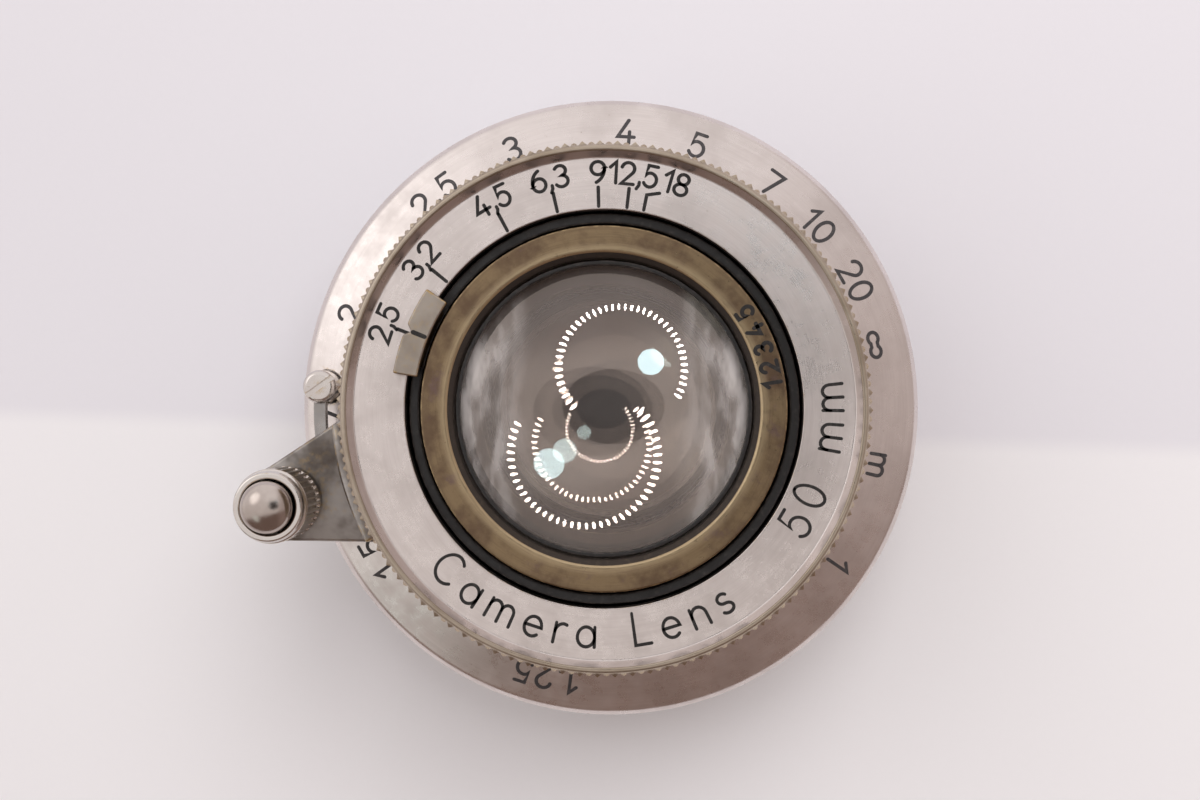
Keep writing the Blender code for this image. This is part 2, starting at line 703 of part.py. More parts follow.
def make_head_body():
    """The iris housing: a spigot in the tube, a ledge for the base plate, and the slotted web."""
    lower = TUBE_FRONT + REST_GAP
    ledge = BASE_PLATE[0] - REST_GAP
    front = FACE_LEVEL - FACE_THICKNESS - REST_GAP
    bore = FACE_INNER + 0.12
    profile = [
        (HEAD_RADIUS, front),
        (HEAD_RADIUS, FRONT_REAR - 0.2),
        (TUBE_RADIUS, FRONT_REAR - 0.2),
        (TUBE_RADIUS, lower),
        (SPIGOT_RADIUS, lower),
        (SPIGOT_RADIUS, SPIGOT_REAR),
        (SPIGOT_BORE, SPIGOT_REAR),
        (SPIGOT_BORE, ledge),
        (IRIS_BORE, ledge),
        (IRIS_BORE, WEB[0]),
        (WEB_INNER, WEB[0]),
        (WEB_INNER, WEB[1]),
        (bore, WEB[1]),
        (bore, front),
    ]
    body = turned("head_body", profile, "nickel", OUTER_FACETS)
    boolean(body, groove_cutter("cut_head_groove"))
    first = TAB_ANGLE + WEB_SLOT_SPARE
    last = TAB_ANGLE - APERTURE_TURN - WEB_SLOT_SPARE
    slot_half = DRIVE_PIN_RADIUS + 0.2
    outer_slot = arc(DRIVE_PIN_ORBIT + slot_half, first, last, 14)
    inner_slot = arc(DRIVE_PIN_ORBIT - slot_half, last, first, 14)
    slot = flat_plate("cut_web_slot", [outer_slot + inner_slot], (WEB[0] - CUT_SPARE, WEB[1] + CUT_SPARE))
    boolean(body, as_cutter(slot))
    depths = (FRONT_RADIUS - sum(HEAD_SCREW[1::2]) - REST_GAP, HEAD_RADIUS + CUT_SPARE)
    for number, angle in enumerate(HEAD_SCREW_ANGLES, 1):
        place = (angle, HEAD_SCREW_LEVEL)
        boolean(body, radial_drill(f"cut_head_hole_{number}", HEAD_SCREW[2] + RUNNING, *depths, *place))


def make_front_scale_ring():
    profile = [
        (RIM_INNER, FRONT_TOP),
        (FRONT_RADIUS, FRONT_TOP),
        (FRONT_RADIUS, FRONT_REAR),
        (HEAD_RADIUS + REST_GAP, FRONT_REAR),
        (HEAD_RADIUS + REST_GAP, FACE_LEVEL - FACE_THICKNESS),
        (FACE_INNER, FACE_LEVEL - FACE_THICKNESS),
        (FACE_INNER, FACE_LEVEL),
        (FACE_OUTER, FACE_LEVEL),
    ]
    ring = turned("front_scale_ring", profile, "nickel", OUTER_FACETS)
    depths = (HEAD_RADIUS - CUT_SPARE, FRONT_RADIUS + CUT_SPARE)
    for number, angle in enumerate(HEAD_SCREW_ANGLES, 1):
        place = (angle, HEAD_SCREW_LEVEL)
        boolean(ring, radial_drill(f"cut_ring_hole_{number}", HEAD_SCREW[0] + RUNNING, *depths, *place))


def make_head_screws():
    profile = screw_profile(*HEAD_SCREW)
    for number, angle in enumerate(HEAD_SCREW_ANGLES, 1):
        screw = turned(f"head_screw_{number}", profile, "steel", SMALL_FACETS, closed=False)
        lay_radially(screw, FRONT_RADIUS - 0.1 - HEAD_SCREW[1], angle, HEAD_SCREW_LEVEL)


def make_front_cell():
    """The brass cell whose front shows round the glass, bevelled inwards to the retaining ring."""
    ring_radius, ring_rear, ring_top = CELL_RING
    profile = [
        (ring_radius - CELL_CHAMFER, ring_top),
        (ring_radius, ring_top - CELL_CHAMFER),
        (ring_radius, ring_rear),
        (CELL_BODY[0], ring_rear),
        CELL_BODY,
        (CELL_NECK[0], CELL_BODY[1]),
        CELL_NECK,
        (CELL_CLEAR, CELL_NECK[1]),
        (CELL_CLEAR, CELL_LEDGE),
        (CELL_BORE, CELL_LEDGE),
        (CELL_BORE, CELL_BEVEL[1]),
        (CELL_BEVEL[0], ring_top),
    ]
    turned("front_cell", profile, "brass", OUTER_FACETS)


def make_middle_cell():
    """The cell behind the iris: its glass goes in from the rear, against an inner lip at the front."""
    profile = [
        (CELL_FLANGE, MIDDLE_FRONT),
        (CELL_FLANGE, MIDDLE_REAR),
        (MIDDLE_BORE, MIDDLE_REAR),
        (MIDDLE_BORE, MIDDLE_FRONT - LIP_THICKNESS),
        (MIDDLE_BORE - LIP_DEPTH, MIDDLE_FRONT - LIP_THICKNESS),
        (MIDDLE_BORE - LIP_DEPTH, MIDDLE_FRONT),
    ]
    turned("middle_cell", profile, "black_paint")


def make_rear_cell():
    """The cell of the rear glass: a flange at the front, a tube, and an inner lip at the rear."""
    profile = [
        (CELL_FLANGE, REAR_FRONT),
        (CELL_FLANGE, REAR_FRONT - CELL_FLANGE_THICKNESS),
        (REAR_TUBE, REAR_FRONT - CELL_FLANGE_THICKNESS),
        (REAR_TUBE, REAR_REAR),
        (REAR_BORE - LIP_DEPTH, REAR_REAR),
        (REAR_BORE - LIP_DEPTH, REAR_REAR + LIP_THICKNESS + 0.1),
        (REAR_BORE, REAR_REAR + LIP_THICKNESS + 0.1),
        (REAR_BORE, REAR_FRONT),
    ]
    turned("rear_cell", profile, "brass")


def make_retaining_rings():
    for name, (inner, outer, bottom, top) in RETAINING_RINGS.items():
        turned(name, [(outer, top), (outer, bottom), (inner, bottom), (inner, top)], "black_paint")


def sag(curvature_radius, radius):
    """Height of a spherical surface's centre over its edge, with the sign of curvature_radius."""
    size = abs(curvature_radius)
    return math.copysign(size - math.sqrt(size * size - radius * radius), curvature_radius)


def surface(curvature_radius, rim_height, rim_radius, radii):
    top = rim_height + sag(curvature_radius, rim_radius)
    return [(r, top - sag(curvature_radius, r)) for r in radii]


def make_elements():
    for name, (radius, front_rim, front_curve, rear_rim, rear_curve) in ELEMENTS.items():
        outward = [radius * share for share in (0.0, 0.4, 0.75, 1.0)]
        front = surface(front_curve, front_rim, radius, outward)
        rear = surface(rear_curve, rear_rim, radius, outward[::-1])
        turned(name, front + rear, "glass", GLASS_FACETS, closed=False)


def make_rear_light_baffle():
    turned("rear_light_baffle", BAFFLE_PROFILE, "black_paint")


# ---------------------------------------------------------------- aperture


def make_aperture_ring():
    outer = FACE_INNER - 0.13
    floor_inner, wall_inner = APERTURE_RING_INNER
    bottom = WEB[1] + REST_GAP
    step = bottom + APERTURE_RING_STEP
    top = FACE_LEVEL - FACE_THICKNESS
    profile = [
        (outer, top),
        (outer, bottom),
        (floor_inner, bottom),
        (floor_inner, step),
        (wall_inner, step),
        (wall_inner, top),
    ]
    ring = turned("aperture_ring", profile, "black_paint", OUTER_FACETS)
    place = (DRIVE_PIN_ORBIT, TAB_ANGLE)
    depths = (bottom - CUT_SPARE, step + CUT_SPARE)
    seat = cylinder("cut_drive_pin_seat", DRIVE_PIN_RADIUS + DRIVE_PIN_ROOM, *depths, place)
    boolean(ring, as_cutter(seat))


def make_drive_pin():
    place = (DRIVE_PIN_ORBIT, TAB_ANGLE)
    cylinder("drive_pin", DRIVE_PIN_RADIUS, *DRIVE_PIN_HEIGHTS, place, SMALL_FACETS, "steel")


def make_aperture_tab():
    """The winged tab over the face, with a neck down through the slot towards the aperture ring."""
    tip, notch = TAB_HALF_ANGLE, TAB_NOTCH_HALF_ANGLE
    inner_radius, outer_radius = TAB_RADII
    outer = arc(outer_radius, -tip, -notch, 6) + [(TAB_NOTCH_RADIUS, 0.0)] + arc(outer_radius, notch, tip, 6)
    inner = arc(inner_radius, tip, -tip, 10)
    plate = flat_plate("aperture_tab", [turn(outer + inner, TAB_ANGLE)], TAB_HEIGHTS, "worn_nickel")
    neck_outer = arc(NECK_RADII[1], -NECK_HALF_ANGLE, NECK_HALF_ANGLE, 6)
    neck_inner = arc(NECK_RADII[0], NECK_HALF_ANGLE, -NECK_HALF_ANGLE, 6)
    neck_heights = (FACE_LEVEL - FACE_THICKNESS + RUNNING, TAB_HEIGHTS[0] + 0.2)
    neck = flat_plate("join_tab_neck", [turn(neck_outer + neck_inner, TAB_ANGLE)], neck_heights)
    boolean(plate, as_cutter(neck), "UNION")


def blade_turn():
    """Degrees that a blade turns on its pivot between the widest and the smallest aperture."""
    reach = OPEN_RADIUS - CLOSED_RADIUS
    return 2 * math.degrees(math.asin(reach / (2 * PIVOT_ORBIT)))


def drive_point(swing):
    """A blade's drive pin, in the pivot's ray's frame, after the blade turns clockwise by swing.

    The pin stands beside the pivot, and moves from inside to outside the pivot's orbit.
    """
    angle = math.radians(90.0 + blade_turn() / 2 - swing)
    return (PIVOT_ORBIT + DRIVE_ARM * math.cos(angle), DRIVE_ARM * math.sin(angle))


def slot_outline(half_width, steps=11):
    """The rotor's curved slot: the drive pin's path as the rotor turns at a steady ratio to the blade."""
    path = []
    for i in range(steps + 1):
        share = i / steps
        point = drive_point(share * blade_turn())
        path += turn([point], share * APERTURE_TURN)
    sides = ([], [])
    for i, (x, y) in enumerate(path):
        before = path[max(i - 1, 0)]
        after = path[min(i + 1, steps)]
        along = Vector((after[0] - before[0], after[1] - before[1])).normalized()
        extend = along * (half_width if i == steps else -half_width if i == 0 else 0.0)
        for side, offset in zip(sides, (half_width, -half_width)):
            side.append((x + extend.x - along.y * offset, y + extend.y + along.x * offset))
    return sides[0] + sides[1][::-1]


def make_iris_plates():
    holes = [
        circle(PIVOT_RADIUS + 0.1, BLADE_PIN_FACETS, polar_pair(PIVOT_ORBIT, blade_angle(k)))
        for k in range(BLADE_COUNT)
    ]
    rims = [circle(PLATE_OUTER, RING_FACETS), circle(PLATE_INNER, RING_FACETS)]
    flat_plate("iris_base_plate", rims + holes, BASE_PLATE, "black_paint")
    slots = [turn(slot_outline(DRIVE_RADIUS + 0.07), blade_angle(k)) for k in range(BLADE_COUNT)]
    pin_place = polar_pair(DRIVE_PIN_ORBIT, TAB_ANGLE)
    pin_hole = circle(DRIVE_PIN_RADIUS + DRIVE_PIN_ROOM, SMALL_FACETS, pin_place)
    flat_plate("iris_rotor_plate", rims + slots + [pin_hole], ROTOR_PLATE, "blued_steel")


def polar_pair(radius, degrees):
    return (radius * math.cos(math.radians(degrees)), radius * math.sin(math.radians(degrees)))


def blade_angle(index):
    return 360.0 / BLADE_COUNT * index


def blade_outline():
    """One leaf, in its pivot's ray's frame: a crescent with an ear that holds both pins."""
    inner = arc(OPEN_RADIUS, -BLADE_END, -BLADE_START, 12)
    drive_x, drive_y = drive_point(0.0)
    ear = [
        (OPEN_RADIUS + 0.5, 0.2),
        (BLADE_OUTER - 0.35, 0.8),
        (drive_x - 0.42, drive_y - 0.3),
        (drive_x - 0.3, drive_y + 0.35),
        (drive_x + 0.2, drive_y + 0.42),
        (drive_x + 0.45, drive_y),
        (PIVOT_ORBIT + 0.6, 0.4),
        (PIVOT_ORBIT + 0.55, -0.35),
        (PIVOT_ORBIT, -0.65),
    ]
    outer = arc(BLADE_OUTER, -BLADE_START, -BLADE_END, 12)
    return inner + ear + outer


def make_iris_blades():
    for index in range(BLADE_COUNT):
        angle = blade_angle(index)
        bottom = FIRST_BLADE + index * BLADE_PITCH
        top = bottom + BLADE_THICKNESS
        name = f"iris_blade_{index + 1}"
        blade = flat_plate(name, [turn(blade_outline(), angle)], (bottom, top), "blued_steel")
        set_origin(blade, polar(PIVOT_ORBIT, angle, bottom))
        place = (PIVOT_ORBIT, angle)
        heights = (BASE_PLATE[0] + 0.1, top - BLADE_SINK)
        pivot = cylinder(f"join_pivot_{index + 1}", PIVOT_RADIUS, *heights, place, BLADE_PIN_FACETS)
        boolean(blade, as_cutter(pivot), "UNION")
        x, y = drive_point(0.0)
        place = (math.hypot(x, y), angle + math.degrees(math.atan2(y, x)))
        heights = (bottom + BLADE_SINK, ROTOR_PLATE[1] - 0.1)
        drive = cylinder(f"join_drive_{index + 1}", DRIVE_RADIUS, *heights, place, BLADE_PIN_FACETS)
        boolean(blade, as_cutter(drive), "UNION")


clear_scene()
parts = new_collection(COLLECTION_NAME)
cutters = new_collection("cutters")
seat_centre = bpy.data.objects.new("seat_centre", None)
seat_centre.location = (0.0, 0.0, -TUBE_REAR * MM)
parts.objects.link(seat_centre)
for material_name in MATERIALS:
    make_material(material_name)

make_mount_base()
make_distance_scale_ring()
make_scale_ring_screws()
make_infinity_catch()
make_cam_ring()
make_inner_helicoid()
make_focus_collar()
make_collar_cover_ring()
make_focus_lever()
make_lever_screws()
make_knob_sleeve()
make_lock_button()
make_lock_finger()
make_button_spring()
make_guide_ring()
make_felt_seal()
make_barrel_tube()
make_bayonet_lug_ring()
make_head_body()
make_front_scale_ring()
make_head_screws()
make_front_cell()
make_middle_cell()
make_rear_cell()
make_retaining_rings()
make_elements()
make_rear_light_baffle()
make_aperture_ring()
make_drive_pin()
make_aperture_tab()
make_iris_plates()
make_iris_blades()
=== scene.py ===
"""Looks of the collapsible 50 mm lens: its fine surfaces, engraving, finishes, light and camera.

Lengths are millimetres and heights count from the mount's seat face, as in the CAD; MM and SEAT turn
them into the frame's metres. Angles are counter-clockwise from +X, seen from the front.
"""

import math

import bmesh
import bpy
import numpy as np
from mathutils import Matrix, Vector


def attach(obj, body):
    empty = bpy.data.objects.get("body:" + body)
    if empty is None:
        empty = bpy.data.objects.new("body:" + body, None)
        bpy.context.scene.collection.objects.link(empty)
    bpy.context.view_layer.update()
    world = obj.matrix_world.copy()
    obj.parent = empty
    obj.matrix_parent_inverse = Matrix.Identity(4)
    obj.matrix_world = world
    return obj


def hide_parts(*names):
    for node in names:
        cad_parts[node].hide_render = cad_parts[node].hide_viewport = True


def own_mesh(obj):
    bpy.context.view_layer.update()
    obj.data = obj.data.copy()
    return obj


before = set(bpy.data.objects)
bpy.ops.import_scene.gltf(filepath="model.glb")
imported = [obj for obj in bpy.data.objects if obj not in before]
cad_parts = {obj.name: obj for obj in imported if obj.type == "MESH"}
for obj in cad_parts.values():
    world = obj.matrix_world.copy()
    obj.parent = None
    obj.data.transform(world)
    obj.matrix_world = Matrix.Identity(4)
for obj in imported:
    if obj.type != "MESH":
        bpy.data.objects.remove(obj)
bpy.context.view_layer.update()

MM = 0.001
SEAT = 12.0
UPRIGHT = 28.7  # the camera and the scales stand turned by this much from the frame's axes

# Camera, in the upright view's own axes: right, up, and height over the seat.
CAMERA_SPOT = (2.7, 0.6, 109.0)
CAMERA_TARGET = (-0.2, 0.61, 18.0)
CAMERA_LENS = 40.3
CAMERA_SENSOR = 36.0

# Mount.
THREAD_RADIUS = 19.5
THREAD_LENGTH = 4.5
THREAD_PITCH = 25.4 / 26
THREAD_DEPTH = 0.5
SEAT_RADIUS = 22.6
SEAT_THICKNESS = 1.2
HELICOID_BORE = 18.05
SLEEVE_TOP = 3.4
FLANGE_RADIUS = 24.4
CONE_TOP = (19.8, 4.0)
CONE_RIM = (23.95, 2.75)
SCALE_SCREW_ORBIT = 21.2
SCALE_SCREW_ANGLES = (60.0, 180.0, 300.0)
CATCH_ORBIT = 22.4
CATCH_ANGLE = 204.5
CATCH_RADIUS = 1.3

# Focusing.
HELICOID_RADIUS = 17.9
HELICOID_INNER = 16.9
HELICOID_REAR = -6.0
HELICOID_LEAD = 3.44
HELICOID_STARTS = 5
CAM_REAR = -7.5
KEY_ANGLE = 270.0
COLLAR_RADIUS = 19.3
COLLAR_BOTTOM = 4.6
COLLAR_TOP = 9.3
COLLAR_BORE = 17.5
COLLAR_LIP = 16.2
LEVER_ANGLE = 225.0
LEVER_SCREW_OFFSETS = (-8.0, 8.0)
LEVER_SCREW_SEAT = 20.2
LEVER_SCREW_LEVEL = 8.4
KNOB_ORBIT = 25.5
ARM_BOTTOM = 5.6
ARM_TOP = 7.4
SLEEVE_RADIUS = 2.75
SLEEVE_RIM = 2.5
SLEEVE_BORE = 2.05
SLEEVE_BASE = 7.7
SLEEVE_FLOOR = 8.3
KNOB_TOP = 12.6
KNOB_TEETH = 34
BUTTON_RADIUS = 1.92
BUTTON_BOTTOM = 10.3
BUTTON_TOP = 13.9
STEM_RADIUS = 0.7
FINGER_BOTTOM = 4.7
FINGER_TOP = 5.3

# Barrel and head.
TUBE_RADIUS = 15.75
TUBE_INNER = 14.7
TUBE_REAR = -12.0
TUBE_FRONT = 5.0
GROOVE_HALF_WIDTH = 0.9
GROOVE_FLOOR = 15.2
HEAD_RADIUS = 16.5
FRONT_RADIUS = 18.0
FRONT_REAR = 11.0
FRONT_TOP = 18.0
FACE_LEVEL = 17.3
FACE_INNER = 13.63
FACE_OUTER = 17.2
RIM_INNER = 17.6
RIM_OUTER = 17.85
HEAD_SCREW_ANGLES = (40.0, 160.0, 280.0)
HEAD_SCREW_LEVEL = 12.6
KNURL_TEETH = 95
KNURL_BAND = (13.7, 17.85)
KNURL_DEPTH = 0.6
TAB_ANGLE = 186.7
WEB_TOP = 10.7

RING_STEPS = 256
SMALL_STEPS = 48
EASE = 0.08

pieces = bpy.data.collections.new("lens_looks")
bpy.context.scene.collection.children.link(pieces)
looks = {}


# ---------------------------------------------------------------- meshes


def polar(radius, degrees, height=0.0):
    """A point of the frame, in metres, from a radius, an angle and a height over the seat."""
    angle = math.radians(degrees)
    return Vector((radius * math.cos(angle), radius * math.sin(angle), height + SEAT)) * MM


def upright(right, up, height):
    """A point of the frame, in metres, from the upright view's axes."""
    return polar(math.hypot(right, up), math.degrees(math.atan2(up, right)) + UPRIGHT, height)


ON_AXIS = Matrix.Translation(polar(0.0, 0.0))


def standing(radius, degrees):
    """Places a piece that was made about the Z axis upright at this radius and angle."""
    return Matrix.Translation(polar(radius, degrees)) @ Matrix.Rotation(math.radians(degrees), 4, "Z")


def lying(radius, degrees, height):
    """Places a piece that was made about the Z axis on its side, with its top pointing out."""
    turn = Matrix.Rotation(math.radians(degrees), 4, "Z") @ Matrix.Rotation(math.radians(90.0), 4, "Y")
    return Matrix.Translation(polar(radius, degrees, height)) @ turn


def eased(profile, ease=EASE, closed=True):
    """The profile with each corner rounded, and with a point beside each curve that keeps flats flat."""
    points = []
    for i, corner in enumerate(profile):
        here = Vector(corner)
        if not closed and i in (0, len(profile) - 1):
            points.append(here)
            continue
        before = Vector(profile[i - 1]) - here
        after = Vector(profile[(i + 1) % len(profile)]) - here
        reach = min(ease, before.length * 0.3, after.length * 0.3)
        start = here + before.normalized() * reach
        end = here + after.normalized() * reach
        points.append(here + before.normalized() * reach * 1.5)
        for share in (0.0, 0.33, 0.67, 1.0):
            back = 1.0 - share
            points.append(start * back * back + here * 2.0 * back * share + end * share * share)
        points.append(here + after.normalized() * reach * 1.5)
    return points


def fine_steps(start, end, count):
    """Points that split the straight line between two profile points, without its ends."""
    return [Vector(start).lerp(Vector(end), i / count) for i in range(1, count)]


def swept(name, points, steps=RING_STEPS, place=ON_AXIS, shape=None, closed=True):
    """Sweeps profile points, in (radius, height), round Z. shape may give each one a new radius."""
    verts = []
    for step in range(steps):
        degrees = 360.0 * step / steps
        c = math.cos(math.radians(degrees))
        s = math.sin(math.radians(degrees))
        for radius, height in points:
            r = shape(radius, degrees, height) if shape else radius
            verts.append((r * c * MM, r * s * MM, height * MM))
    count = len(points)
    faces = []
    for step in range(steps):
        first = step * count
        second = (step + 1) % steps * count
        for i in range(count if closed else count - 1):
            j = (i + 1) % count
            faces.append((first + i, first + j, second + j, second + i))
    return finished(name, verts, faces, place)


def finished(name, verts, faces, place=Matrix.Identity(4), sharp=38.0):
    """A smooth-shaded mesh with merged points and outward faces."""
    mesh = bpy.data.meshes.new(name)
    mesh.from_pydata(verts, [], faces)
    form = bmesh.new()
    form.from_mesh(mesh)
    bmesh.ops.remove_doubles(form, verts=form.verts, dist=1e-7)
    bmesh.ops.recalc_face_normals(form, faces=form.faces)
    form.to_mesh(mesh)
    form.free()
    mesh.transform(place)
    mesh.shade_smooth()
    mesh.set_sharp_from_angle(angle=math.radians(sharp))
    return mesh


def block(size, centre, place=ON_AXIS):
    """A plain cutter or key block: its full size and its centre, before it is placed."""
    mesh = bpy.data.meshes.new("block")
    form = bmesh.new()
    scale = Matrix.Diagonal((size[0] * MM, size[1] * MM, size[2] * MM, 1.0))
    bmesh.ops.create_cube(form, size=1.0, matrix=place @ Matrix.Translation(Vector(centre) * MM) @ scale)
    form.to_mesh(mesh)
    form.free()
    return mesh


def drill(radius, bottom, top, place, steps=32):
    profile = [(0.0, top), (radius, top), (radius, bottom), (0.0, bottom)]
    return swept("drill", profile, steps, place, closed=False)


def applied(piece):
    """Replaces a piece's mesh by what its modifiers make of it."""
    bpy.context.view_layer.update()
    graph = bpy.context.evaluated_depsgraph_get()
    made = bpy.data.meshes.new_from_object(piece.evaluated_get(graph))
    piece.modifiers.clear()
    piece.data = made
    return piece


def cut(mesh, cutters, operation="DIFFERENCE", sharp=38.0):
    """The mesh after a Boolean with each cutter mesh in turn."""
    base = bpy.data.objects.new("cut_base", mesh)
    bpy.context.scene.collection.objects.link(base)
    guides = []
    for cutter in cutters:
        guide = bpy.data.objects.new("cutter", cutter)
        bpy.context.scene.collection.objects.link(guide)
        guides.append(guide)
        modifier = base.modifiers.new("cut", "BOOLEAN")
        modifier.object = guide
        modifier.operation = operation
        modifier.solver = "EXACT"
    made = applied(base).data
    for thing in [base] + guides:
        bpy.data.objects.remove(thing, do_unlink=True)
    made.shade_smooth()
    made.set_sharp_from_angle(angle=math.radians(sharp))
    return made


def softened(mesh, width=0.12, segments=3, angle=35.0):
    """The mesh with its sharp edges rounded by a Bevel."""
    holder = bpy.data.objects.new("softened", mesh)
    bpy.context.scene.collection.objects.link(holder)
    bevel = holder.modifiers.new("edges", "BEVEL")
    bevel.width = width * MM
    bevel.segments = segments
    bevel.limit_method = "ANGLE"
    bevel.angle_limit = math.radians(angle)
    bevel.harden_normals = True
    made = applied(holder).data
    bpy.data.objects.remove(holder, do_unlink=True)
    made.shade_smooth()
    return made


def joined(meshes):
    """One mesh that holds all of these."""
    form = bmesh.new()
    for mesh in meshes:
        form.from_mesh(mesh)
    made = bpy.data.meshes.new("joined")
    form.to_mesh(made)
    form.free()
    return made


def plate(outline, bottom, top, place=ON_AXIS):
    """A flat piece with this outline, as points in millimetres, between two heights."""
    count = len(outline)
    verts = [(x * MM, y * MM, bottom * MM) for x, y in outline] + [(x * MM, y * MM, top * MM) for x, y in outline]
    faces = [tuple(range(count))[::-1], tuple(range(count, 2 * count))]
    faces += [(i, (i + 1) % count, (i + 1) % count + count, i + count) for i in range(count)]
    return finished("plate", verts, faces, place)


def arc(radius, first, last, steps, centre=(0.0, 0.0)):
    """Points along an arc about centre, both ends included."""
    turns = [math.radians(first + (last - first) * i / steps) for i in range(steps + 1)]
    return [(centre[0] + radius * math.cos(t), centre[1] + radius * math.sin(t)) for t in turns]


def mark_wear(mesh):
    """Stores how far each vertex stands out above its neighbours, which is where a coat rubs off."""
    count = len(mesh.vertices)
    places = np.empty(3 * count)
    normals = np.empty(3 * count)
    ends = np.empty(2 * len(mesh.edges), dtype=np.int32)
    mesh.vertices.foreach_get("co", places)
    mesh.vertices.foreach_get("normal", normals)
    mesh.edges.foreach_get("vertices", ends)
    places = places.reshape(-1, 3)
    normals = normals.reshape(-1, 3)
    first, second = ends.reshape(-1, 2).T
    along = places[second] - places[first]
    along /= np.maximum(np.linalg.norm(along, axis=1, keepdims=True), 1e-12)
    out = np.zeros(count)
    meeting = np.zeros(count)
    np.add.at(out, first, -(along * normals[first]).sum(axis=1))
    np.add.at(out, second, (along * normals[second]).sum(axis=1))
    np.add.at(meeting, ends, 1.0)
    wear = mesh.attributes.new("wear", "FLOAT", "POINT")
    wear.data.foreach_set("value", out / np.maximum(meeting, 1.0))


def show(name, mesh, look, body, slot, *nodes):
    """Adds a piece that rides on a body, has a finish, and stands for these CAD nodes."""
    mesh.name = name
    mark_wear(mesh)
    mesh.materials.clear()
    mesh.materials.append(looks[look])
    piece = bpy.data.objects.new(name, mesh)
    pieces.objects.link(piece)
    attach(piece, body)
    if nodes:
        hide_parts(*nodes)
    return piece


# ---------------------------------------------------------------- finishes


def add_node(tree, kind, inputs=None, **settings):
    """A shader node, with its settings made and its inputs set or linked."""
    made = tree.nodes.new(kind)
    for key, value in settings.items():
        setattr(made, key, value)
    for key, value in (inputs or {}).items():
        if isinstance(value, bpy.types.NodeSocket):
            tree.links.new(value, made.inputs[key])
        else:
            made.inputs[key].default_value = value
    return made


def new_look(name):
    material = bpy.data.materials.new(name)
    material.use_nodes = True
    looks[name] = material
    tree = material.node_tree
    return tree, tree.nodes["Principled BSDF"]


def maths(tree, operation, first, second=0.0):
    return add_node(tree, "ShaderNodeMath", {0: first, 1: second}, operation=operation).outputs[0]


def spread(tree, value, low, high, to_low=0.0, to_high=1.0):
    """value, smoothly rescaled from one range to another and held there."""
    inputs = {"Value": value, "From Min": low, "From Max": high, "To Min": to_low, "To Max": to_high}
    return add_node(tree, "ShaderNodeMapRange", inputs, interpolation_type="SMOOTHSTEP").outputs[0]


def mixed(tree, share, first, second):
    inputs = {"Fac": share, "Color1": first, "Color2": second}
    return add_node(tree, "ShaderNodeMixRGB", inputs).outputs["Color"]


def place_of(tree):
    return add_node(tree, "ShaderNodeTexCoord").outputs["Object"]


def cloud(tree, size, detail=4.0, roughness=0.6, vector=None, shift=0.0):
    """Noise with features of this size in millimetres; a shift gives an unlike pattern."""
    moved = add_node(tree, "ShaderNodeVectorMath", {0: vector or place_of(tree), 1: (shift, shift, shift)}, operation="ADD")
    inputs = {"Vector": moved.outputs[0], "Scale": 1.0 / (size * MM), "Detail": detail, "Roughness": roughness}
    return add_node(tree, "ShaderNodeTexNoise", inputs).outputs["Fac"]


def round_axis(tree, grain, along):
    """Coordinates that streak a texture round the axis: grain is a streak's width, along its length."""
    place = place_of(tree)
    split = add_node(tree, "ShaderNodeSeparateXYZ", {0: place})
    flat = add_node(tree, "ShaderNodeVectorMath", {0: place, 1: (1.0, 1.0, 0.0)}, operation="MULTIPLY")
    radius = add_node(tree, "ShaderNodeVectorMath", {0: flat.outputs[0]}, operation="LENGTH").outputs["Value"]
    angle = maths(tree, "ARCTAN2", split.outputs["Y"], split.outputs["X"])
    inputs = {
        0: maths(tree, "MULTIPLY", radius, 1.0 / (grain * MM)),
        1: maths(tree, "MULTIPLY", angle, 16.0 / along),
        2: maths(tree, "MULTIPLY", split.outputs["Z"], 1.0 / (grain * MM)),
    }
    return add_node(tree, "ShaderNodeCombineXYZ", inputs).outputs[0], radius


def streaks(tree, vector, detail=2.0):
    return add_node(tree, "ShaderNodeTexNoise", {"Vector": vector, "Scale": 1.0, "Detail": detail}).outputs["Fac"]


def bumped(tree, shader, height, distance, strength=1.0, normal=None):
    inputs = {"Height": height, "Distance": distance * MM, "Strength": strength}
    if normal:
        inputs["Normal"] = normal
    made = add_node(tree, "ShaderNodeBump", inputs)
    tree.links.new(made.outputs[0], shader.inputs["Normal"])
    return made.outputs[0]


def edge_wear(tree, low=0.07, high=0.24):
    """One on convex edges and nothing elsewhere, broken up a little."""
    point = add_node(tree, "ShaderNodeAttribute", attribute_name="wear").outputs["Fac"]
    ragged = spread(tree, cloud(tree, 0.5), 0.3, 0.7, 0.4, 1.5)
    return spread(tree, maths(tree, "MULTIPLY", point, ragged), low, high)


def dot(tree, vector, direction):
    inputs = {0: vector, 1: tuple(direction)}
    return add_node(tree, "ShaderNodeVectorMath", inputs, operation="DOT_PRODUCT").outputs["Value"]


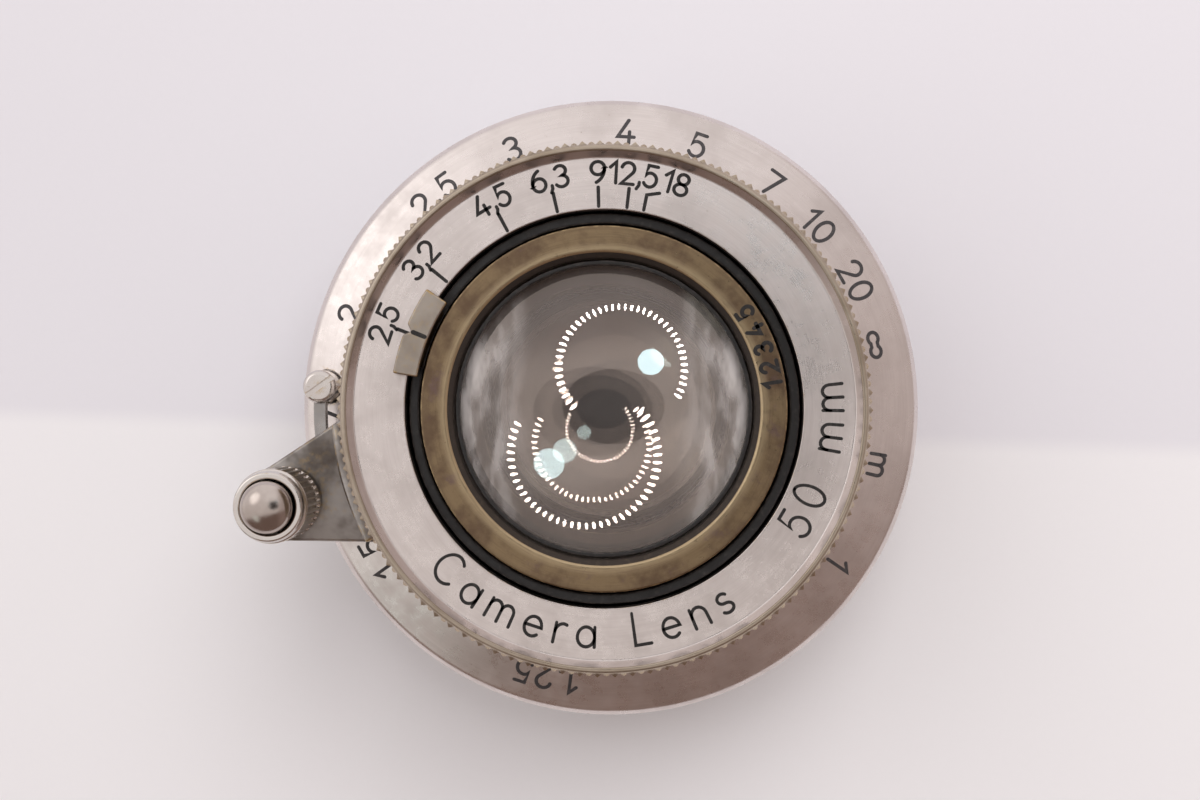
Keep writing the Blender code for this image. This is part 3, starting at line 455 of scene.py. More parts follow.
def make_nickel(name, light, dull, roughness, turned=True, wear=0.6, tarnish=0.5, grain=0.07, dulled=0.6):
    """Old nickel plate: brushed round the axis, cloudy, speckled, and worn to brass along its edges."""
    tree, shader = new_look(name)
    shader.inputs["Metallic"].default_value = 1.0
    patches = spread(tree, cloud(tree, 5.0, shift=0.3), 0.42, 0.68, 0.0, dulled)
    colour = mixed(tree, patches, light, dull)
    brown = (0.30, 0.235, 0.17, 1.0)
    specks = spread(tree, cloud(tree, 0.55, 6.0, 0.7, shift=0.7), 0.64, 0.72)
    area = spread(tree, cloud(tree, 7.0, 2.0, shift=1.1), 0.54, 0.68)
    colour = mixed(tree, maths(tree, "MULTIPLY", maths(tree, "MULTIPLY", specks, area), tarnish), colour, brown)
    if turned:
        vector, _ = round_axis(tree, grain, 2.2)
        lines = streaks(tree, vector)
        broad, _ = round_axis(tree, grain * 5.0, 5.0)
        bands = streaks(tree, broad)
        colour = mixed(tree, spread(tree, lines, 0.35, 0.7, 0.0, 0.22), colour, dull)
        colour = mixed(tree, spread(tree, bands, 0.4, 0.75, 0.0, 0.25), colour, dull)
        shader.inputs["Anisotropic"].default_value = 0.55
        tangent = add_node(tree, "ShaderNodeTangent", direction_type="RADIAL", axis="Z")
        tree.links.new(tangent.outputs[0], shader.inputs["Tangent"])
    else:
        lines = cloud(tree, 0.12, 3.0)
    scratches = cloud(tree, 1.6, 8.0, 0.75, shift=1.9)
    colour = mixed(tree, maths(tree, "MULTIPLY", edge_wear(tree), wear), colour, (0.50, 0.36, 0.18, 1.0))
    tree.links.new(colour, shader.inputs["Base Color"])
    rough = maths(tree, "ADD", spread(tree, scratches, 0.3, 0.75, -0.07, 0.13), roughness)
    tree.links.new(rough, shader.inputs["Roughness"])
    fine = bumped(tree, shader, lines, 0.004, 0.8)
    bumped(tree, shader, scratches, 0.01, 0.5, fine)


def make_brass(name, light, brown, roughness, inner=None, turned=True):
    """Bare brass with a brown and purplish patina; inner is a radius towards which its colour turns lighter, with a
    darker band further out.
    """
    tree, shader = new_look(name)
    shader.inputs["Metallic"].default_value = 1.0
    patches = spread(tree, cloud(tree, 3.2, 6.0, 0.65, shift=0.2), 0.40, 0.66)
    colour = mixed(tree, patches, light, brown)
    purple = (0.20, 0.135, 0.125, 1.0)
    stain = spread(tree, cloud(tree, 2.0, 7.0, 0.7, shift=2.3), 0.56, 0.72, 0.0, 0.75)
    colour = mixed(tree, stain, colour, purple)
    vector, radius = round_axis(tree, 0.09, 3.0)
    if inner:
        # The colour turns lighter towards the inner radius, and darker in a band from 1.35 mm outside it.
        lighter_inside = spread(tree, radius, (inner + 0.75) * MM, inner * MM, 0.0, 0.75)
        colour = mixed(tree, lighter_inside, colour, (0.58, 0.46, 0.29, 1.0))
        outer = spread(tree, radius, (inner + 1.35) * MM, (inner + 1.8) * MM, 0.0, 0.7)
        colour = mixed(tree, outer, colour, (0.17, 0.12, 0.075, 1.0))
    lines = streaks(tree, vector) if turned else cloud(tree, 0.1)
    colour = mixed(tree, spread(tree, lines, 0.45, 0.75, 0.0, 0.3), colour, brown)
    colour = mixed(tree, maths(tree, "MULTIPLY", edge_wear(tree), 0.6), colour, (0.68, 0.52, 0.28, 1.0))
    tree.links.new(colour, shader.inputs["Base Color"])
    pits = cloud(tree, 0.5, 8.0, 0.75, shift=1.3)
    tree.links.new(spread(tree, pits, 0.3, 0.7, roughness - 0.08, roughness + 0.14), shader.inputs["Roughness"])
    shader.inputs["Anisotropic"].default_value = 0.4
    tangent = add_node(tree, "ShaderNodeTangent", direction_type="RADIAL", axis="Z")
    tree.links.new(tangent.outputs[0], shader.inputs["Tangent"])
    fine = bumped(tree, shader, lines, 0.004, 0.7)
    bumped(tree, shader, pits, 0.012, 0.5, fine)


def make_dark(name, colour, worn, roughness, metallic=0.0, grain=0.4):
    """A dark coat, such as lacquer or bluing, that is cloudy, dusty and rubbed along its edges."""
    tree, shader = new_look(name)
    dust = spread(tree, cloud(tree, grain, 6.0, 0.7), 0.5, 0.78, 0.0, 0.35)
    base = mixed(tree, dust, colour, worn)
    base = mixed(tree, maths(tree, "MULTIPLY", edge_wear(tree), 0.7), base, worn)
    tree.links.new(base, shader.inputs["Base Color"])
    shader.inputs["Metallic"].default_value = metallic
    mottle = cloud(tree, 1.1, 5.0, shift=0.9)
    tree.links.new(spread(tree, mottle, 0.3, 0.7, roughness - 0.1, roughness + 0.12), shader.inputs["Roughness"])
    bumped(tree, shader, cloud(tree, 0.1, 3.0), 0.004, 0.6)


def make_felt():
    tree, shader = new_look("felt")
    fibres = cloud(tree, 0.09, 8.0, 0.8)
    tree.links.new(mixed(tree, fibres, (0.03, 0.026, 0.024, 1.0), (0.16, 0.14, 0.12, 1.0)), shader.inputs["Base Color"])
    shader.inputs["Roughness"].default_value = 0.95
    shader.inputs["Sheen Weight"].default_value = 0.6
    bumped(tree, shader, fibres, 0.12)


def make_glass(name, tint, haze, side_reflection):
    """Old uncoated glass: most light goes on, some mirrors off, a haze covers it, and painted reflection of the windows
    streaks its left and right.
    """
    tree, shader = new_look(name)
    tree.nodes.remove(shader)
    clear = add_node(tree, "ShaderNodeBsdfTransparent", {"Color": tint})
    mirror = add_node(tree, "ShaderNodeBsdfGlossy", {"Color": (1.0, 0.88, 0.80, 1.0), "Roughness": 0.0})
    slant = add_node(tree, "ShaderNodeLayerWeight", {"Blend": 0.5}).outputs["Facing"]
    share = maths(tree, "ADD", maths(tree, "MULTIPLY", maths(tree, "POWER", slant, 5.0), 0.6), 0.085)
    sheet = add_node(tree, "ShaderNodeMixShader", {0: share, 1: clear.outputs[0], 2: mirror.outputs[0]})
    haze_and_reflection_film = add_node(tree, "ShaderNodeBsdfDiffuse", {"Color": (0.86, 0.82, 0.81, 1.0)})
    smear = spread(tree, cloud(tree, 5.0, 3.0, 0.5, shift=0.6), 0.3, 0.75, haze * 0.6, haze)
    dust = spread(tree, cloud(tree, 0.16, 2.0, 0.5, shift=1.7), 0.77, 0.80, 0.0, haze * 2.5)
    place = place_of(tree)
    side = maths(tree, "ABSOLUTE", dot(tree, place, (upright(1.0, 0.0, -SEAT) / MM).normalized()))
    rise = dot(tree, place, (upright(0.0, 1.0, -SEAT) / MM).normalized())
    inputs = {
        0: maths(tree, "MULTIPLY", side, 1.0 / (1.7 * MM)),
        1: maths(tree, "MULTIPLY", rise, 1.0 / (5.0 * MM)),
    }
    reflection_streak_place = add_node(tree, "ShaderNodeCombineXYZ", inputs).outputs[0]
    # Painted reflection: whitish upright streaks on the left and right of the glass stand in for the windows mirrored
    # there.
    bands = spread(tree, streaks(tree, reflection_streak_place, 3.0), 0.40, 0.66, 0.05, 1.0)
    painted_reflection = maths(tree, "MULTIPLY", spread(tree, side, 4.5 * MM, 9.0 * MM), side_reflection)
    # The whitish sheet's share: real haze and dust all over, plus the painted reflection streaks at the sides.
    haze_and_reflection = maths(tree, "ADD", maths(tree, "ADD", smear, dust), maths(tree, "MULTIPLY", bands, painted_reflection))
    with_haze_and_reflection = add_node(tree, "ShaderNodeMixShader", {0: haze_and_reflection, 1: sheet.outputs[0], 2: haze_and_reflection_film.outputs[0]})
    tree.links.new(with_haze_and_reflection.outputs[0], tree.nodes["Material Output"].inputs["Surface"])


def make_ink(name, dark, thinned):
    """The black that fills the engraving, rubbed thin in places."""
    tree, shader = new_look(name)
    thin = spread(tree, cloud(tree, 0.35, 6.0, 0.7), 0.5, 0.75, 0.0, 0.4)
    tree.links.new(mixed(tree, thin, dark, thinned), shader.inputs["Base Color"])
    shader.inputs["Roughness"].default_value = 0.6
    bumped(tree, shader, cloud(tree, 0.08, 3.0), 0.01)


def make_looks():
    pale = (0.77, 0.71, 0.685, 1.0)
    grey = (0.60, 0.545, 0.52, 1.0)
    make_nickel("nickel_face", pale, grey, 0.30, tarnish=0.55)
    make_nickel("nickel_side", pale, (0.46, 0.41, 0.36, 1.0), 0.30, wear=0.9, tarnish=0.8)
    make_nickel("nickel_polished", (0.70, 0.665, 0.63, 1.0), grey, 0.14, turned=False, wear=0.5, tarnish=0.4)
    make_nickel("nickel_button", (0.56, 0.50, 0.46, 1.0), (0.36, 0.30, 0.27, 1.0), 0.16, turned=False, wear=0.5)
    make_nickel("nickel_rim", (0.50, 0.43, 0.35, 1.0), (0.30, 0.235, 0.17, 1.0), 0.32, wear=0.3, tarnish=0.9)
    make_nickel("nickel_worn", (0.42, 0.395, 0.375, 1.0), (0.15, 0.13, 0.115, 1.0), 0.38, False, 0.8, 1.0, dulled=1.0)
    make_nickel("nickel_tab", (0.46, 0.41, 0.36, 1.0), (0.27, 0.225, 0.18, 1.0), 0.34, turned=False, wear=1.0)
    make_nickel("steel", (0.45, 0.44, 0.43, 1.0), (0.28, 0.26, 0.25, 1.0), 0.28, turned=False, wear=0.2)
    make_brass("brass_ring", (0.30, 0.22, 0.13, 1.0), (0.17, 0.115, 0.075, 1.0), 0.34, inner=10.77)
    make_brass("brass_plain", (0.50, 0.37, 0.18, 1.0), (0.33, 0.23, 0.115, 1.0), 0.34)
    make_dark("lacquer", (0.012, 0.011, 0.011, 1.0), (0.11, 0.095, 0.085, 1.0), 0.38)
    make_dark("lacquer_brown", (0.035, 0.027, 0.022, 1.0), (0.16, 0.12, 0.085, 1.0), 0.45)
    make_dark("bluing", (0.055, 0.060, 0.080, 1.0), (0.22, 0.20, 0.19, 1.0), 0.30, metallic=1.0, grain=0.8)
    make_felt()
    # The front glass's last number sets the strength of its painted reflection streaks.
    make_glass("glass_front", (0.97, 0.955, 0.94, 1.0), 0.055, 0.52)
    make_glass("glass_inner", (0.96, 0.94, 0.925, 1.0), 0.02, 0.0)
    make_ink("ink", (0.012, 0.011, 0.011, 1.0), (0.10, 0.09, 0.08, 1.0))
    make_ink("ink_faded", (0.045, 0.042, 0.045, 1.0), (0.20, 0.18, 0.17, 1.0))


# ---------------------------------------------------------------- engraving

# A glyph is its width and its strokes, with the height of a capital as 1.
X_HEIGHT = 0.62


def bow(x, y, across, up, first, last, steps=14):
    """Points along part of an ellipse, in glyph units and degrees."""
    turns = [math.radians(first + (last - first) * i / steps) for i in range(steps + 1)]
    return [(x + across * math.cos(t), y + up * math.sin(t)) for t in turns]


def arch(x, width):
    """The shoulder of an n, from its left stem over to its foot on the right."""
    half = width / 2
    return [(x, X_HEIGHT - half * 1.1)] + bow(x + half, X_HEIGHT - half, half, half, 180, 0, 8) + [(x + width, 0.0)]


def turned_over(strokes, width):
    """A glyph's strokes after half a turn about its middle."""
    return [[(width - x, 1.0 - y) for x, y in stroke] for stroke in strokes]


SIX = [bow(0.62, 0.31, 0.62, 0.72, 112, 180, 8) + bow(0.3, 0.31, 0.3, 0.31, 180, 540, 24)]
GLYPHS = {
    "0": (0.60, [bow(0.3, 0.5, 0.3, 0.5, 90, 450, 28)]),
    "1": (0.34, [[(0.02, 0.74), (0.28, 1.0), (0.28, 0.0)]]),
    "2": (0.60, [bow(0.3, 0.71, 0.28, 0.29, 168, -38, 14) + [(0.02, 0.0), (0.6, 0.0)]]),
    "3": (0.60, [bow(0.28, 0.76, 0.25, 0.24, 150, -90, 14) + bow(0.28, 0.27, 0.30, 0.27, 80, -150, 14)]),
    "4": (0.66, [[(0.40, 1.0), (0.0, 0.28), (0.66, 0.28)], [(0.46, 0.5), (0.46, 0.0)]]),
    "5": (0.58, [[(0.52, 1.0), (0.12, 1.0), (0.06, 0.53)] + bow(0.27, 0.33, 0.30, 0.33, 128, -150, 18)]),
    "6": (0.60, SIX),
    "7": (0.58, [[(0.0, 1.0), (0.58, 1.0), (0.2, 0.0)]]),
    "8": (0.60, [bow(0.3, 0.76, 0.24, 0.24, -90, 270, 20), bow(0.3, 0.26, 0.30, 0.26, 90, 450, 24)]),
    "9": (0.60, turned_over(SIX, 0.6)),
    ",": (0.12, [[(0.10, 0.14), (0.10, 0.0), (0.0, -0.18)]]),
    "~": (1.0, [bow(0.24, 0.5, 0.24, 0.22, 40, 320, 16) + bow(0.76, 0.5, 0.24, 0.22, 220, 500, 16) + [(0.42, 0.64)]]),
    " ": (0.40, []),
    "C": (0.74, [bow(0.44, 0.5, 0.44, 0.5, 48, 312, 24)]),
    "L": (0.50, [[(0.0, 1.0), (0.0, 0.0), (0.5, 0.0)]]),
    "a": (0.56, [bow(0.28, 0.31, 0.28, 0.31, 0, 360, 24), [(0.56, X_HEIGHT), (0.56, 0.0)]]),
    "e": (0.56, [[(0.02, 0.32), (0.56, 0.32)] + bow(0.28, 0.31, 0.28, 0.31, 2, 312, 22)]),
    "m": (0.84, [[(0.0, X_HEIGHT), (0.0, 0.0)], arch(0.0, 0.42), arch(0.42, 0.42)]),
    "n": (0.50, [[(0.0, X_HEIGHT), (0.0, 0.0)], arch(0.0, 0.50)]),
    "r": (0.30, [[(0.0, X_HEIGHT), (0.0, 0.0)], bow(0.26, 0.33, 0.26, 0.29, 176, 66, 8)]),
    "s": (0.44, [bow(0.22, 0.465, 0.19, 0.155, 35, 270, 12) + bow(0.22, 0.155, 0.21, 0.155, 88, -145, 12)]),
}


def stroke_faces(path, half_width, verts, faces):
    """Adds a flat ribbon along a 2D path, with round ends, to lists of points and faces."""
    points = [Vector(p) for p in path]
    first = len(verts)
    for i, here in enumerate(points):
        incoming = (here - points[i - 1]).normalized() if i else None
        outgoing = (points[i + 1] - here).normalized() if i + 1 < len(points) else incoming
        incoming = incoming or outgoing
        along = (incoming + outgoing).normalized()
        widen = half_width / max(along.dot(incoming), 0.45)
        side = Vector((-along.y, along.x)) * widen
        verts += [here + side, here - side]
    for i in range(len(points) - 1):
        a = first + 2 * i
        faces.append((a, a + 1, a + 3, a + 2))
    for end, inner in ((points[0], points[1]), (points[-1], points[-2])):
        out = (end - inner).normalized()
        angle = math.degrees(math.atan2(out.y, out.x))
        cap = arc(half_width, angle - 90.0, angle + 90.0, 8, end)
        faces.append(tuple(range(len(verts), len(verts) + len(cap))))
        verts += [Vector(p) for p in cap]


def text_width(text, gap):
    return sum(GLYPHS[c][0] for c in text) + gap * (len(text) - 1)


def text_strokes(text, size, gap):
    """A line of text as 2D strokes, centred on zero, in millimetres."""
    strokes = []
    x = -text_width(text, gap) / 2
    for c in text:
        width, shapes = GLYPHS[c]
        strokes += [[((x + px) * size, py * size) for px, py in shape] for shape in shapes]
        x += width + gap
    return strokes


def engraved(name, marks, level, body, line=0.24, look="ink"):
    """Strokes laid on a turned surface. Each mark has its strokes, baseline radius, middle angle and
    whether its tops point out; level gives the surface's height at a radius."""
    form = bmesh.new()
    for strokes, baseline, middle, outward in marks:
        flat = []
        shapes = []
        for stroke in strokes:
            stroke_faces(stroke, line / 2, flat, shapes)
        sign = -1.0 if outward else 1.0
        corners = []
        for x, y in flat:
            radius = baseline - sign * y
            degrees = middle + sign * math.degrees(x / baseline)
            corners.append(form.verts.new(polar(radius, degrees, level(radius))))
        for shape in shapes:
            form.faces.new([corners[i] for i in shape])
    form.normal_update()
    for face in form.faces:
        if face.normal.z < 0.0:
            face.normal_flip()
    mesh = bpy.data.meshes.new(name)
    form.to_mesh(mesh)
    form.free()
    return show(name, mesh, look, body, "black_lacquer")


# ---------------------------------------------------------------- shapes that repeat


def refined(points, radius, low, high, step):
    """Splits the stretch of a closed profile that runs at this radius between two heights."""
    made = []
    for here, after in zip(points, points[1:] + points[:1]):
        made.append(here)
        heights = sorted((here[1], after[1]))
        upright_wall = abs(here[0] - radius) < 0.001 and abs(after[0] - radius) < 0.001
        if upright_wall and heights[0] > low - 0.001 and heights[1] < high + 0.001:
            made += fine_steps(here, after, max(1, round((heights[1] - heights[0]) / step)))
    return made


def saw(turns):
    """A triangle wave between 0, at whole turns, and 1, half way between them."""
    return 1.0 - abs(2.0 * (turns % 1.0) - 1.0)


def slotted(profile, level, place, slot_width=0.24, slot_depth=0.22):
    """A small screw, turned from its profile, with a driver slot across its head at this level."""
    head = max(radius for radius, _ in profile)
    body = swept("screw", eased(profile, 0.05, closed=False), 40, place, closed=False)
    slot = block((3.0 * head, slot_width, 2.0 * slot_depth), (0.0, 0.0, level), place)
    return cut(body, [slot])


def paint(mesh, look, chosen):
    """Gives a second look to the faces whose middle, as radius and height, is chosen."""
    mesh.materials.append(looks[look])
    for face in mesh.polygons:
        middle = face.center / MM
        if chosen(math.hypot(middle.x, middle.y), middle.z - SEAT):
            face.material_index = 1


def cone_level(radius):
    """Height of the distance scale's cone at a radius, with the ink's lift."""
    share = (radius - CONE_TOP[0]) / (CONE_RIM[0] - CONE_TOP[0])
    return CONE_TOP[1] + share * (CONE_RIM[1] - CONE_TOP[1]) + 0.015


def face_level(_radius):
    return FACE_LEVEL + 0.012


# ---------------------------------------------------------------- mount


def thread(radius, degrees, height):
    """Radius of the mount's right-hand thread, which runs out at both its ends."""
    if abs(radius - THREAD_RADIUS) > 0.01 or height > 0.0:
        return radius
    ends = min(1.0, max(0.0, (-0.25 - height) / 0.5), max(0.0, (height + THREAD_LENGTH) / 0.35))
    wave = min(1.0, max(0.0, 1.25 * saw(height / THREAD_PITCH + degrees / 360.0) - 0.12))
    return radius - THREAD_DEPTH * (wave * ends + 0.6 * (height > -0.7) * (1.0 - ends))


def make_mount_base():
    profile = [
        (THREAD_RADIUS, SLEEVE_TOP),
        (THREAD_RADIUS, SEAT_THICKNESS),
        (SEAT_RADIUS, SEAT_THICKNESS),
        (SEAT_RADIUS, 0.0),
        (THREAD_RADIUS, 0.0),
        (THREAD_RADIUS, -THREAD_LENGTH),
        (HELICOID_BORE, -THREAD_LENGTH),
        (HELICOID_BORE, SLEEVE_TOP),
    ]
    points = refined(eased(profile), THREAD_RADIUS, -THREAD_LENGTH, 0.0, THREAD_PITCH / 12)
    base = swept("mount_base", points, 240, shape=thread)
    turn = ON_AXIS @ Matrix.Rotation(math.radians(KEY_ANGLE), 4, "Z")
    cutters = [block((1.05, 2.4, 7.8), (18.425, 0.0, -1.6), turn)]
    for angle in SCALE_SCREW_ANGLES:
        cutters.append(drill(1.1, -0.5, 0.7, standing(SCALE_SCREW_ORBIT, angle)))
    show("mount_base_fine", cut(base, cutters), "nickel_side", "mount", "nickel_plate", "mount_base")


def make_distance_scale_ring():
    profile = [
        CONE_RIM,
        (FLANGE_RADIUS, CONE_RIM[1] - 0.45),
        (FLANGE_RADIUS, 0.3),
        (SEAT_RADIUS + 0.3, 0.3),
        (SEAT_RADIUS + 0.3, SEAT_THICKNESS + 0.3),
        (CONE_TOP[0], SEAT_THICKNESS + 0.3),
        CONE_TOP,
    ]
    ring = swept("distance_scale_ring", eased(profile, 0.14))
    seat = drill(CATCH_RADIUS + 0.12, 2.0, 5.0, standing(CATCH_ORBIT, CATCH_ANGLE))
    show("distance_scale_ring_fine", cut(ring, [seat]), "nickel_face", "mount", "nickel_plate", "distance_scale_ring")


def make_scale_ring_screws():
    profile = [(0.0, 2.4), (0.5, 2.4), (0.5, 0.55), (0.95, 0.55), (0.95, 0.1), (0.0, 0.1)]
    for number, angle in enumerate(SCALE_SCREW_ANGLES, 1):
        mesh = slotted(profile, 0.1, standing(SCALE_SCREW_ORBIT, angle + 7.0 * number))
        mesh.transform(ON_AXIS @ Matrix.Rotation(math.radians(-7.0 * number), 4, "Z") @ ON_AXIS.inverted())
        name = f"scale_ring_screw_{number}"
        show(name + "_fine", mesh, "steel", "mount", "steel", name)


def make_infinity_catch():
    """The round post with a notch, open towards the lever, that the lock finger rests in."""
    dome = [(0.0, 6.0), (0.98, 5.97), (1.18, 5.88), (CATCH_RADIUS, 5.68), (CATCH_RADIUS, 2.2), (0.0, 2.2)]
    place = standing(CATCH_ORBIT, CATCH_ANGLE)
    post = swept("catch", eased(dome, 0.1, closed=False), SMALL_STEPS, place, closed=False)
    notch = block((1.4, 2.0, 2.2), (0.0, 1.0, 4.5), place)
    across = place @ Matrix.Rotation(math.radians(40.0), 4, "Z")
    slot = block((3.2, 0.42, 0.6), (0.0, 0.0, 6.0), across)
    mesh = cut(post, [notch, slot])
    show("infinity_catch_fine", mesh, "nickel_polished", "mount", "nickel_plate", "infinity_catch")


DISTANCES = {
    "~": 13.3, "20": 27.2, "10": 40.9, "7": 53.9, "5": 71.2, "4": 86.3, "3": 110.4, "2,5": 129.4,
    "2": 160.2, "1,75": 182.5, "1,5": 213.0, "1,25": 257.0, "1": 326.0, "m": 348.0,
}


def make_distance_numbers():
    marks = []
    for text, angle in DISTANCES.items():
        base = 20.4 if text == "~" else 20.8
        marks.append((text_strokes(text, 1.9, 0.28), base, angle + UPRIGHT, True))
    engraved("distance_numbers", marks, cone_level, "mount", 0.27, "ink_faded")


# ---------------------------------------------------------------- focusing


def make_cam_ring():
    profile = [
        (HELICOID_RADIUS, HELICOID_REAR - 0.2),
        (HELICOID_RADIUS, CAM_REAR),
        (HELICOID_INNER, CAM_REAR),
        (HELICOID_INNER, HELICOID_REAR - 0.2),
    ]
    ring = swept("cam_ring", eased(profile))
    turn = ON_AXIS @ Matrix.Rotation(math.radians(KEY_ANGLE), 4, "Z")
    foot = softened(block((1.4, 2.0, 1.0), (18.0, 0.0, -6.9), turn), 0.1)
    tongue = softened(block((0.62, 1.9, 6.3), (18.37, 0.0, -4.15), turn), 0.1)
    mesh = joined([ring, foot, tongue])
    show("rangefinder_cam_fine", mesh, "steel", "cam", "steel", "rangefinder_cam_ring")


def helicoid(radius, degrees, height):
    """Radius of the focusing thread's grooves, which wind the same way as the mount's."""
    if abs(radius - HELICOID_RADIUS) > 0.01 or height > 3.3:
        return radius
    wave = saw(HELICOID_STARTS * (height / HELICOID_LEAD + degrees / 360.0))
    return radius - 0.22 * min(1.0, max(0.0, 1.6 * wave - 0.3))


def make_inner_helicoid():
    profile = [
        (19.2, COLLAR_BOTTOM - 0.3),
        (19.2, SLEEVE_TOP + 0.3),
        (HELICOID_RADIUS, SLEEVE_TOP + 0.3),
        (HELICOID_RADIUS, HELICOID_REAR),
        (HELICOID_INNER, HELICOID_REAR),
        (HELICOID_INNER, COLLAR_BOTTOM - 0.3),
    ]
    points = refined(eased(profile), HELICOID_RADIUS, HELICOID_REAR, SLEEVE_TOP + 0.3, 0.1)
    mesh = swept("helicoid", points, 240, shape=helicoid)
    show("inner_helicoid_fine", mesh, "brass_plain", "focus", "bare_brass", "inner_helicoid")


def make_collar():
    profile = [
        (COLLAR_RADIUS, COLLAR_TOP),
        (COLLAR_RADIUS, COLLAR_BOTTOM),
        (COLLAR_LIP, COLLAR_BOTTOM),
        (COLLAR_LIP, COLLAR_BOTTOM + 0.8),
        (COLLAR_BORE, COLLAR_BOTTOM + 0.8),
        (COLLAR_BORE, COLLAR_TOP),
    ]
    mesh = swept("collar", eased(profile, 0.15))
    show("focus_collar_fine", mesh, "nickel_side", "focus", "nickel_plate", "focus_collar")
    top = COLLAR_TOP + 0.3
    cover = [(COLLAR_RADIUS, top + 0.8), (COLLAR_RADIUS, top), (COLLAR_LIP, top), (COLLAR_LIP, top + 0.8)]
    mesh = swept("cover", eased(cover, 0.2))
    show("collar_cover_fine", mesh, "nickel_face", "focus", "nickel_plate", "collar_cover_ring")


def make_focus_lever():
    """The tapered arm, and the foot that stands on it against the collar."""
    turn = ON_AXIS @ Matrix.Rotation(math.radians(LEVER_ANGLE), 4, "Z")
    outline = arc(19.7, 15.0, -15.0, 24) + arc(3.0, -80.0, 80.0, 32, (KNOB_ORBIT, 0.0))
    stem_hole = drill(STEM_RADIUS + 0.3, ARM_BOTTOM - 0.5, ARM_TOP + 0.5, standing(KNOB_ORBIT, LEVER_ANGLE))
    arm = cut(softened(plate(outline, ARM_BOTTOM, ARM_TOP, turn), 0.32, 4), [stem_hole])
    foot_outline = arc(20.55, -13.0, 13.0, 24) + arc(19.72, 13.0, -13.0, 24)
    sinks = [
        drill(0.9, LEVER_SCREW_SEAT - 0.15, 22.0, lying(0.0, LEVER_ANGLE + offset, LEVER_SCREW_LEVEL))
        for offset in LEVER_SCREW_OFFSETS
    ]
    foot = cut(softened(plate(foot_outline, ARM_TOP - 0.6, 9.5, turn), 0.18), sinks)
    show("focus_lever_fine", joined([arm, foot]), "nickel_worn", "focus", "worn_nickel", "focus_lever")
    profile = [(0.0, 0.3), (0.75, 0.3), (0.75, 0.0), (0.36, 0.0), (0.36, -1.8), (0.0, -1.8)]
    for number, offset in enumerate(LEVER_SCREW_OFFSETS, 1):
        mesh = slotted(profile, 0.3, lying(LEVER_SCREW_SEAT, LEVER_ANGLE + offset, LEVER_SCREW_LEVEL), 0.2, 0.14)
        name = f"lever_screw_{number}"
        show(name + "_fine", mesh, "steel", "focus", "steel", name)


def knob_teeth(radius, degrees, height):
    if abs(radius - SLEEVE_RADIUS) > 0.001 or height < SLEEVE_BASE + 0.45:
        return radius
    return radius - 0.2 * (1.0 - min(1.0, 1.4 * saw(degrees * KNOB_TEETH / 360.0)))


def make_knob_sleeve():
    """The finger grip: straight knurling, a groove, and a polished rim round the button."""
    grip_top = KNOB_TOP - 0.75
    profile = [
        (SLEEVE_RIM, KNOB_TOP),
        (SLEEVE_RIM + 0.14, KNOB_TOP - 0.4),
        (SLEEVE_RIM - 0.02, KNOB_TOP - 0.55),
        (SLEEVE_RIM - 0.02, grip_top + 0.06),
        (SLEEVE_RADIUS, grip_top - 0.1),
        (SLEEVE_RADIUS, SLEEVE_BASE + 0.5),
        (SLEEVE_RADIUS, SLEEVE_BASE),
        (STEM_RADIUS + 0.3, SLEEVE_BASE),
        (STEM_RADIUS + 0.3, SLEEVE_FLOOR),
        (SLEEVE_BORE, SLEEVE_FLOOR),
        (SLEEVE_BORE, KNOB_TOP),
    ]
    mesh = swept("grip", eased(profile, 0.12), KNOB_TEETH * 8, standing(KNOB_ORBIT, LEVER_ANGLE), knob_teeth)
    show("knob_sleeve_fine", mesh, "nickel_polished", "focus", "nickel_plate", "knob_sleeve")


def make_button_spring():
    """A round-wire coil between the sleeve's floor and the button, of one fixed length."""
    turns, steps, coil = 4.5, 24, 1.35
    bottom, top = SLEEVE_FLOOR + 0.2, BUTTON_BOTTOM - 0.2
    curve = bpy.data.curves.new("spring", "CURVE")
    curve.dimensions = "3D"
    curve.bevel_depth = 0.16 * MM
    curve.bevel_resolution = 3
    curve.use_fill_caps = True
    spline = curve.splines.new("POLY")
    count = int(turns * steps) + 1
    spline.points.add(count - 1)
    for i, point in enumerate(spline.points):
        height = bottom + (top - bottom) * i / (count - 1)
        point.co = (*(polar(coil, 360.0 * i / steps, height) - polar(0.0, 0.0)), 1.0)
    guide = bpy.data.objects.new("spring", curve)
    bpy.context.scene.collection.objects.link(guide)
    guide.matrix_world = standing(KNOB_ORBIT, LEVER_ANGLE)
    bpy.context.view_layer.update()
    mesh = bpy.data.meshes.new_from_object(guide.evaluated_get(bpy.context.evaluated_depsgraph_get()))
    mesh.transform(guide.matrix_world)
    bpy.data.objects.remove(guide, do_unlink=True)
    mesh.shade_smooth()
    spring = show("button_spring_fine", mesh, "steel", "focus", "steel", "button_spring")
    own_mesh(spring)


